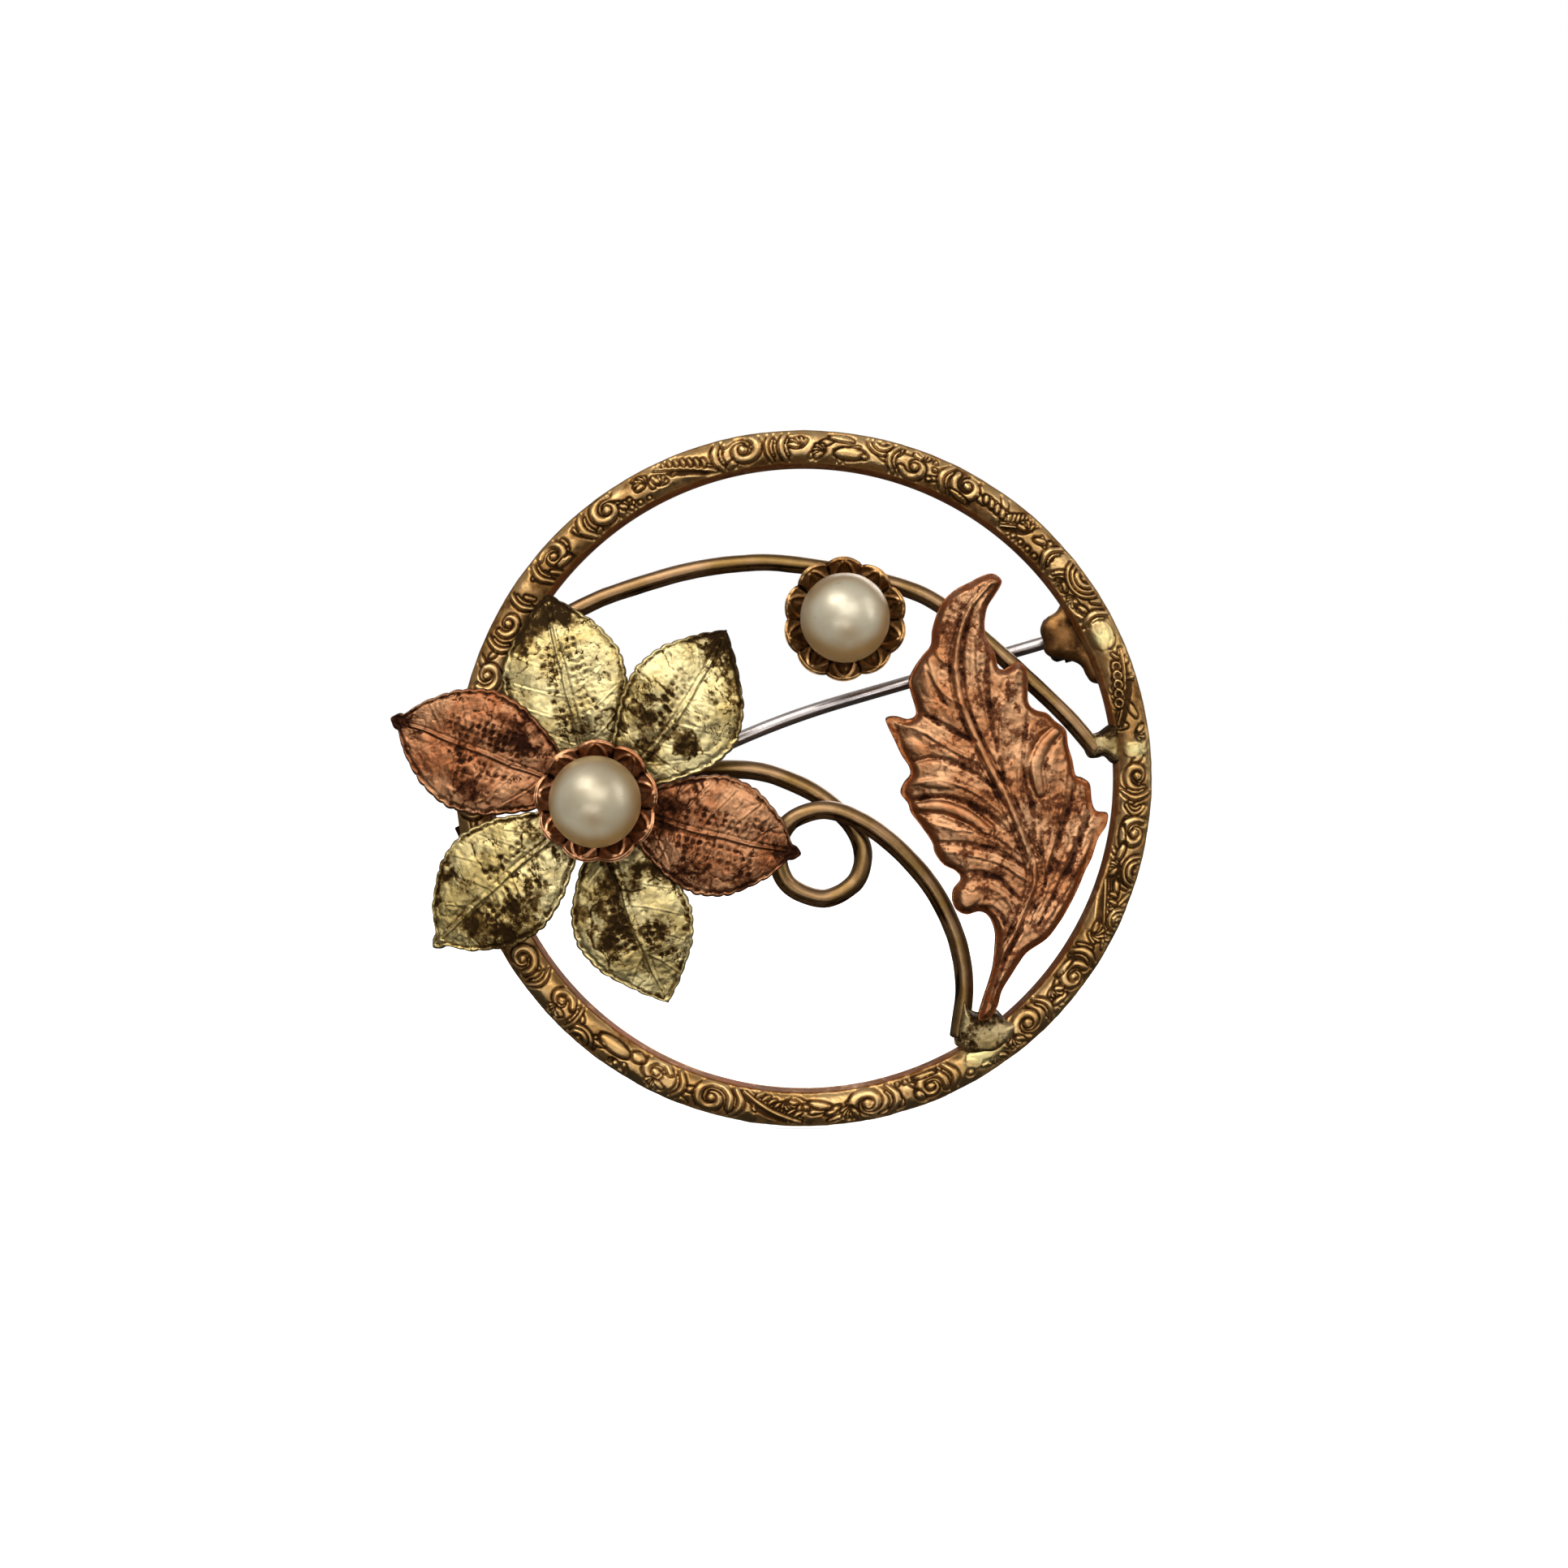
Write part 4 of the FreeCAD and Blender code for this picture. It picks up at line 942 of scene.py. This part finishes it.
# lines on the leaf: veins stand up, furrows cut in
LEAF_RIB = [(10.9, -14.3), (11.7, -11.4), (13.0, -8.9), (13.95, -6.2), (13.4, -3.9), (12.4, -1.6),
            (11.15, 0.9), (10.1, 3.1), (9.4, 5.1), (9.2, 7.4), (9.9, 10.0), (11.3, 11.8)]
LEAF_VEINS = [
    [(12.9, -2.6), (12.0, 0.2), (11.4, 3.0), (10.6, 6.0), (10.5, 8.6), (10.9, 10.6)],
    [(13.6, -4.6), (12.2, -1.0), (11.9, 1.6), (12.0, 4.0), (12.9, 6.5)],
    [(14.0, -7.2), (13.9, -4.4), (13.2, -2.0), (13.0, 0.6), (13.6, 2.8)],
    [(14.0, -7.4), (14.9, -4.6), (15.6, -2.0), (15.9, 0.4), (16.0, 2.5)],
    [(14.3, -8.6), (15.7, -5.4), (16.8, -2.8), (17.3, -0.8)],
    [(14.3, -9.2), (16.2, -6.2), (17.6, -3.6), (18.2, -2.4)],
    [(14.0, -10.4), (15.4, -8.2), (16.6, -6.2)],
    [(10.8, 0.9), (9.2, 1.6), (7.4, 2.7), (5.6, 3.4)],
    [(12.0, -2.1), (10.4, -0.9), (8.4, -0.1), (6.5, -0.4)],
    [(13.2, -4.6), (11.4, -3.4), (9.6, -3.2), (7.2, -2.6)],
    [(13.5, -6.2), (12.0, -5.2), (10.2, -4.7), (8.4, -4.4)],
    [(12.9, -9.2), (12.5, -7.6), (11.2, -6.6), (9.6, -6.9)],
    [(9.1, 6.6), (8.0, 7.6), (7.9, 9.2)],
    [(9.6, 4.4), (8.4, 5.2), (7.4, 6.8)],
]
LEAF_FURROWS = [
    [(12.2, -0.4), (11.55, 2.4), (11.1, 5.0), (11.1, 7.0), (11.15, 8.4)],
    [(10.4, 2.2), (9.0, 2.9), (7.6, 3.7), (6.75, 4.4)],
    [(11.6, -0.6), (9.6, 0.7), (7.9, 1.2), (6.5, 1.0)],
    [(12.6, -3.4), (10.9, -2.0), (9.0, -1.2), (7.0, -1.2), (6.0, -1.4)],
    [(13.4, -5.4), (11.6, -4.4), (9.8, -4.0), (8.0, -3.9)],
    [(13.1, -7.4), (11.8, -6.1), (10.4, -5.7), (9.3, -5.9)],
    [(12.2, -9.0), (11.9, -8.3), (11.3, -7.9), (10.4, -8.0)],
    [(13.8, -5.4), (13.9, -2.4), (13.3, 1.2), (13.6, 4.0)],
    [(14.2, -7.6), (15.4, -4.0), (16.3, -1.2), (16.6, 0.2)],
    [(14.2, -8.9), (16.2, -5.2), (17.4, -2.4)],
    [(9.7, 5.6), (9.6, 8.0), (10.2, 10.4)],
    [(8.6, 4.4), (7.8, 5.6), (7.3, 7.4)],
    [(12.6, -10.2), (13.5, -8.0), (14.4, -5.9), (14.4, -3.6)],
    [(11.2, -13.4), (12.2, -10.8), (13.2, -9.2)],
]
# lines beside the rib: how far off it in mm, and the stretch of its points that they follow
LEAF_BESIDE = [(-0.55, 1, 7), (-0.3, 1, 11), (0.32, 1, 10), (0.6, 2, 7), (0.9, 2, 5)]
# smooth raised ovals with a groove round them, and plain polished places
LEAF_OVALS = [
    [(15.35, 2.9), (14.5, 1.9), (14.05, 0.6), (14.3, -0.9)],
    [(6.9, -1.75), (8.4, -1.75), (9.9, -2.3), (11.1, -3.15)],
]
LEAF_POLISHED = [(7.5, 6.2, 0.62, 1.35, 8), (7.3, 0.6, 1.1, 0.5, 18), (9.9, -7.4, 0.9, 0.5, 20),
                 (6.7, 1.9, 0.7, 0.45, -35), (13.7, 0.6, 0.35, 1.6, 12), (8.0, -0.35, 1.5, 0.3, -6)]


def leaf_face(q, e):
    """Front of the spray leaf, chased with ribs, furrows, ovals and polished places."""
    r = Relief(q)
    for line in LEAF_VEINS:
        r.stroke(line, 0.55, 0.07, 0.5, "add", 1.2)
        r.stroke(line, 0.1, 0.07, 0.4, "add", 1.0)
        for step in (-0.24, 0.26):
            beside = [(x + step, z + 0.35 * step) for x, z in line[:-1]]
            if len(beside) > 2:
                r.stroke(beside, 0.08, 0.06, 0.3, "cut", 1.0)
    for line in LEAF_FURROWS:
        r.stroke(line, 0.22, 0.13, 0.35, "cut", 1.0)
    for line in LEAF_OVALS:
        r.stroke(line, 0.72, 0.24, 0.6, "cut", 0.7)
        r.stroke(line, 0.4, 0.4, 0.7, "add", 0.5)
    r.stroke(LEAF_RIB, 0.5, 0.12, 0.6, "cut", 1.0)
    r.stroke(LEAF_RIB, 0.24, 0.26, 0.5, "add", 0.8)
    for x, z, rx, rz, turn in LEAF_POLISHED:
        r.blob(x, z, rx, rz, 0.14, turn, "add", 0.7)
    beside_rib = [[(x + step * (0.7 + 0.06 * k), z) for k, (x, z) in enumerate(LEAF_RIB[first:last])]
                  for step, first, last in LEAF_BESIDE]
    for line in beside_rib:
        r.stroke(line, 0.09, 0.11, 0.3, "cut", 0.8)
        r.stroke([(x + 0.14, z) for x, z in line], 0.09, 0.06, 0.3, "add", 0.8)
    carve = Relief(q)
    for line in LEAF_FURROWS:
        carve.stroke(line, 0.2, 1.0, 0.35)
    for line in beside_rib:
        carve.stroke(line, 0.11, 1.0, 0.3)
    for line in LEAF_OVALS:
        carve.stroke(line, 0.62, 1.0, 0.6)
        carve.stroke(line, 0.5, 1.2, 0.6, "cut", 0.3)
    shine = Relief(q)
    for x, z, rx, rz, turn in LEAF_POLISHED:
        shine.blob(x, z, rx * 1.15, rz * 1.15, 1.0, turn)
    for line in LEAF_OVALS:
        shine.stroke(line, 0.5, 1.0, 0.6)
    shine.stroke(LEAF_RIB, 0.22, 0.8, 0.5)
    polish = np.clip(shine.h, 0, 1)
    grainy = noise(q, 0.42, 4, 51) * (1 - 0.75 * polish)
    rise = r.h + 0.035 * grainy + 0.05 * noise(q, 2.4, 2, 53)
    rise += 0.025 * noise(q, 0.2, 2, 59) * (1 - 0.6 * polish)
    crown = LEAF_FRONT + 16 - np.sqrt(256 - (q[:, 0] - 11.6) ** 2)
    slope = 0.7 * (1 - smooth(-0.25, 0.5, e)) / 0.75
    y = crown - rise * smooth(0.1, 0.5, e) + slope + 0.12
    y = np.minimum(y, LEAF_BACK - 0.25)
    relief = 0.8 - 0.42 * np.clip(carve.h, 0, 1) + 0.2 * polish + 0.15 * grainy
    wall = smooth(0.42, 0.3, e + 0.06 * grainy + 0.08 * noise(q, 2.0, 2, 63))
    relief = relief * (1 - wall) + 0.7 * wall
    tarnish = 0.28 + 0.36 * noise(q, 0.9, 4, 57) - 0.6 * polish
    tarnish = tarnish * (1 - wall) + 0.3 * wall
    return y, {"relief": relief, "tarnish": tarnish, "rust": wall}


# ---------- solder ----------

def solder(name, node, outline, front, back, seed):
    """Flowed solder: a soft blob over an outline, grainy on top."""
    def face(q, e):
        swell = 1 - np.sqrt(np.clip(1 - (1 - np.clip(e / 0.5, 0, 1)) ** 2, 0, 1))
        y = front + (back - front) * 0.75 * swell
        y -= 0.04 * noise(q, 1.2, 2, seed) + 0.014 * noise(q, 0.2, 2, seed)
        return y, {"relief": 0.7 + 0.3 * noise(q, 0.7, 3, seed + 1),
                   "tarnish": 0.45 + 0.5 * noise(q, 1.0, 3, seed + 2)}
    slab(name, node, outline, 0.09, face, back, SOLDER, "solder")


LOWER_JOINT = [(9.75, -13.35), (10.15, -14.05), (10.7, -14.35), (11.75, -14.15), (12.4, -14.75),
               (12.9, -14.75), (13.1, -15.3), (12.5, -16.2), (11.7, -16.8), (10.9, -16.9), (10.2, -16.9),
               (9.5, -16.5), (9.25, -15.9)]
STEM_JOINT = [(17.0, 3.0), (17.55, 2.75), (18.1, 2.85), (18.75, 3.3), (19.4, 3.4), (19.5, 2.0), (19.45, 0.9),
              (18.9, 0.95), (18.45, 1.35), (18.0, 1.25), (17.5, 1.3), (17.2, 1.9)]


# ---------- pin, hinge and catch ----------

def pin_steel():
    """The pin's stem, from the knuckle to its point: straight, one gentle bend, straight again."""
    root, tip, bend_radius, tip_run = math.radians(24.7), math.radians(16.2), 55.0, 14.35

    def towards(angle):
        return np.array([math.cos(angle), 0, math.sin(angle)])

    def across(angle):
        return np.array([-math.sin(angle), 0, math.cos(angle)])

    hinge = np.array([-19.78, 1.9, -4.78])
    centre = hinge + towards(root) * 16.3 - across(root) * bend_radius
    bend = [centre + bend_radius * across(a) for a in np.linspace(root, tip, 6)]
    path = [hinge + towards(root) * k for k in (0.75, 2.5, 6.0, 11.0, 14.5)] + bend
    path += [bend[-1] + towards(tip) * k for k in (3.0, 7.0, 11.0, tip_run)]
    line = curve(path, 8)
    sizes = np.r_[np.full(len(line), 0.42), 0.33, 0.2, 0.11, 0.03]
    line = np.vstack([line] + [bend[-1] + towards(tip) * (tip_run + k) for k in (0.45, 0.9, 1.2, 1.3)])
    around = 24
    ring = circles(unit(np.gradient(line, axis=0)), around)
    v = (line[:, None] + ring * sizes[:, None, None]).reshape(-1, 3)
    make("pin_stem_steel", v, rod_faces(len(line), around), STEEL, ["pin_stem"], "pin_steel", body="pin")


CATCH_OUTLINE = [(17.8, 10.5), (16.7, 12.0), (16.2, 11.5), (15.7, 10.4), (15.1, 9.98), (14.72, 9.5),
                 (14.66, 9.0), (14.86, 8.4), (14.9, 7.85), (15.3, 7.5), (15.9, 7.38), (16.55, 7.26),
                 (17.0, 7.08), (17.28, 6.8), (17.5, 6.35), (17.95, 5.9), (19.2, 5.9), (19.4, 7.2),
                 (18.8, 8.8)]


def catch_plate_face(q, e):
    """Plate soldered under the catch, swelling inwards from the hoop, dark with old tarnish."""
    swell = np.sqrt(np.clip(1 - (1 - np.clip(e / 1.1, 0, 1)) ** 2, 0, 1))
    y = np.maximum(0.62 - 0.6 * swell - 0.015 * noise(q, 0.5, 3, 74), 0.02)
    return y, {"relief": 0.7 + 0.3 * noise(q, 0.8, 3, 71), "tarnish": 0.5 + 0.4 * noise(q, 1.2, 3, 72)}


# ---------- assembly ----------

def soft_shading():
    """Joins the faces of a CAD mesh and shades them smooth, except across corners."""
    tree = bpy.data.node_groups.new("soft_shading", "GeometryNodeTree")
    tree.interface.new_socket("Geometry", in_out="INPUT", socket_type="NodeSocketGeometry")
    tree.interface.new_socket("Geometry", in_out="OUTPUT", socket_type="NodeSocketGeometry")
    first, last = tree.nodes.new("NodeGroupInput"), tree.nodes.new("NodeGroupOutput")
    merge = tree.nodes.new("GeometryNodeMergeByDistance")
    merge.inputs["Distance"].default_value = 1e-6
    angle = tree.nodes.new("GeometryNodeInputMeshEdgeAngle")
    flat = tree.nodes.new("FunctionNodeCompare")
    flat.data_type, flat.operation = "FLOAT", "LESS_THAN"
    flat.inputs[1].default_value = math.radians(32)
    faces, edges = (tree.nodes.new("GeometryNodeSetShadeSmooth") for _ in range(2))
    faces.domain, edges.domain = "FACE", "EDGE"
    link = tree.links.new
    link(first.outputs[0], merge.inputs["Geometry"])
    link(merge.outputs[0], faces.inputs["Geometry"])
    link(faces.outputs[0], edges.inputs["Geometry"])
    link(angle.outputs["Unsigned Angle"], flat.inputs[0])
    link(flat.outputs[0], edges.inputs["Shade Smooth"])
    link(edges.outputs[0], last.inputs[0])
    return tree


SOFT = soft_shading()


def finish_cad(name, material):
    """A CAD node that stays: its own material and smooth shading."""
    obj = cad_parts[name]
    obj.modifiers.new("join", "NODES").node_group = SOFT
    voxels = obj.modifiers.new("even", "REMESH")
    voxels.mode, voxels.voxel_size, voxels.use_smooth_shade = "VOXEL", 0.045 * MM, True
    worn = obj.modifiers.new("worn", "SMOOTH")
    worn.factor, worn.iterations = 0.5, 8
    for slot in obj.material_slots:
        slot.link, slot.material = "OBJECT", material


FLOWER_BACK, BUD_X, BUD_Z, BUD_BACK = -3.06, 2.47, 9.66, -0.65

hoop()
stem("upper_stem", "upper_stem_wire", UPPER_STEM, 0.53, 2)
stem("lower_stem", "lower_stem_wire", LOWER_STEM, 0.575, 4)
for petal_name in PETALS:
    petal(petal_name)
rosette("flower_cup", "flower_pearl_cup", FLOWER_X, FLOWER_Z, FLOWER_BACK, 3.72, 9, CUP_ROSE, "rose_gold",
        5, 0.2)
rosette("bud_cup", "bud_pearl_cup", BUD_X, BUD_Z, BUD_BACK, 3.78, 10, CUP_GOLD, "gold_fill", 8, 0.31)
pearl("flower_pearl_bead", "flower_pearl", FLOWER_X, FLOWER_Z, FLOWER_BACK, 2.745, 3)
pearl("bud_pearl_bead", "bud_pearl", BUD_X, BUD_Z, BUD_BACK, 2.71, 6)
slab("spray_leaf", "acanthus_leaf", LEAF_OUTLINE, 0.105, leaf_face, LEAF_BACK, LEAF, "rose_gold")
solder("lower_joint", "solder_lower_junction", LOWER_JOINT, -1.98, -0.4, 61)
solder("stem_joint", "solder_stem_end", STEM_JOINT, -1.45, -0.35, 67)
pin_steel()
slab("catch_plate", "catch_base", CATCH_OUTLINE, 0.09, catch_plate_face, 0.66, FITTING, "gold_fill")
for material, nodes in ((ROSE, ("flower_back_disc",)), (WIRE, ("flower_pearl_peg", "bud_pearl_peg")),
                        (SOLDER, ("solder_flower_left", "solder_flower_lower")),
                        (STEEL, ("pin_knuckle",)),
                        (FITTING, ("hinge_base", "hinge_rivet", "catch_housing", "catch_barrel",
                                   "catch_lever"))):
    for node in nodes:
        finish_cad(node, material)


# ---------- studio ----------

def floor():
    """Pale paper that glows a little, far larger than the brooch."""
    g = Nodes("floor_paper")
    paper = g.out(Base_Color=(0.9, 0.9, 0.9, 1.0), Roughness=0.9, Emission_Strength=0.75,
                  Emission_Color=(1.0, 1.0, 1.0, 1.0))
    half = 3.0
    mesh = bpy.data.meshes.new("floor")
    corners = [(-half, -half, 0), (half, -half, 0), (half, half, 0), (-half, half, 0)]
    mesh.from_pydata(corners, [], [(0, 1, 2, 3)])
    mesh.materials.append(paper)
    obj = bpy.data.objects.new("floor", mesh)
    bpy.context.scene.collection.objects.link(obj)
    obj.location = (0, 0, -21.5 * MM)
    obj.visible_glossy = False


# place, size in metres, watts; all of them face the brooch
LIGHTS = {
    "key": ((-0.16, -0.30, 0.34), (0.30, 0.22), 1.55),
    "front": ((0.08, -0.50, 0.20), (0.42, 0.26), 1.5),
    "low": ((-0.06, -0.50, -0.16), (0.36, 0.16), 0.75),
    "back": ((0.14, 0.46, 0.26), (0.40, 0.30), 1.3),
    "right": ((0.42, -0.16, 0.16), (0.12, 0.34), 0.6),
}


def soft_light(name):
    place, size, power = LIGHTS[name]
    light = bpy.data.lights.new(name, "AREA")
    light.shape, light.size, light.size_y, light.energy = "RECTANGLE", *size, power
    obj = bpy.data.objects.new(name, light)
    bpy.context.scene.collection.objects.link(obj)
    obj.location = place
    obj.rotation_euler = (-Vector(place)).to_track_quat("-Z", "Y").to_euler()


def sky():
    """Soft light from above; the camera itself sees plain white."""
    world = bpy.data.worlds.new("studio")
    bpy.context.scene.world = world
    world.use_nodes = True
    tree = world.node_tree
    background = tree.nodes["Background"]
    background.inputs["Color"].default_value = (1, 1, 1, 1)
    coord, split, height, path, pick = (tree.nodes.new("ShaderNode" + kind) for kind in (
        "TexCoord", "SeparateXYZ", "MapRange", "LightPath", "Mix"))
    for key, value in (("From Min", -0.35), ("From Max", 0.75), ("To Min", 0.05), ("To Max", 0.5)):
        height.inputs[key].default_value = value
    pick.inputs[3].default_value = 1.0
    for source, target in ((coord.outputs["Generated"], split.inputs[0]),
                           (split.outputs["Z"], height.inputs["Value"]),
                           (path.outputs["Is Camera Ray"], pick.inputs[0]),
                           (height.outputs["Result"], pick.inputs[2]),
                           (pick.outputs[0], background.inputs["Strength"])):
        tree.links.new(source, target)


floor()
for light_name in LIGHTS:
    soft_light(light_name)
sky()
bpy.context.scene.view_settings.view_transform = "Standard"

# the camera looks straight at the front: its distance, and the width of the view there, in mm
VIEW_FAR, VIEW_WIDTH, SENSOR = 160.0, 96.6, 36.0
camera = bpy.data.objects.new("camera", bpy.data.cameras.new("camera"))
bpy.context.scene.collection.objects.link(camera)
camera.location = (-0.0012, -VIEW_FAR * MM, -0.00035)
camera.rotation_euler = (math.pi / 2, 0, 0)
camera.data.sensor_width = SENSOR
camera.data.lens = SENSOR * VIEW_FAR / VIEW_WIDTH
camera.data.clip_start, camera.data.clip_end = 0.005, 20.0
bpy.context.scene.camera = camera
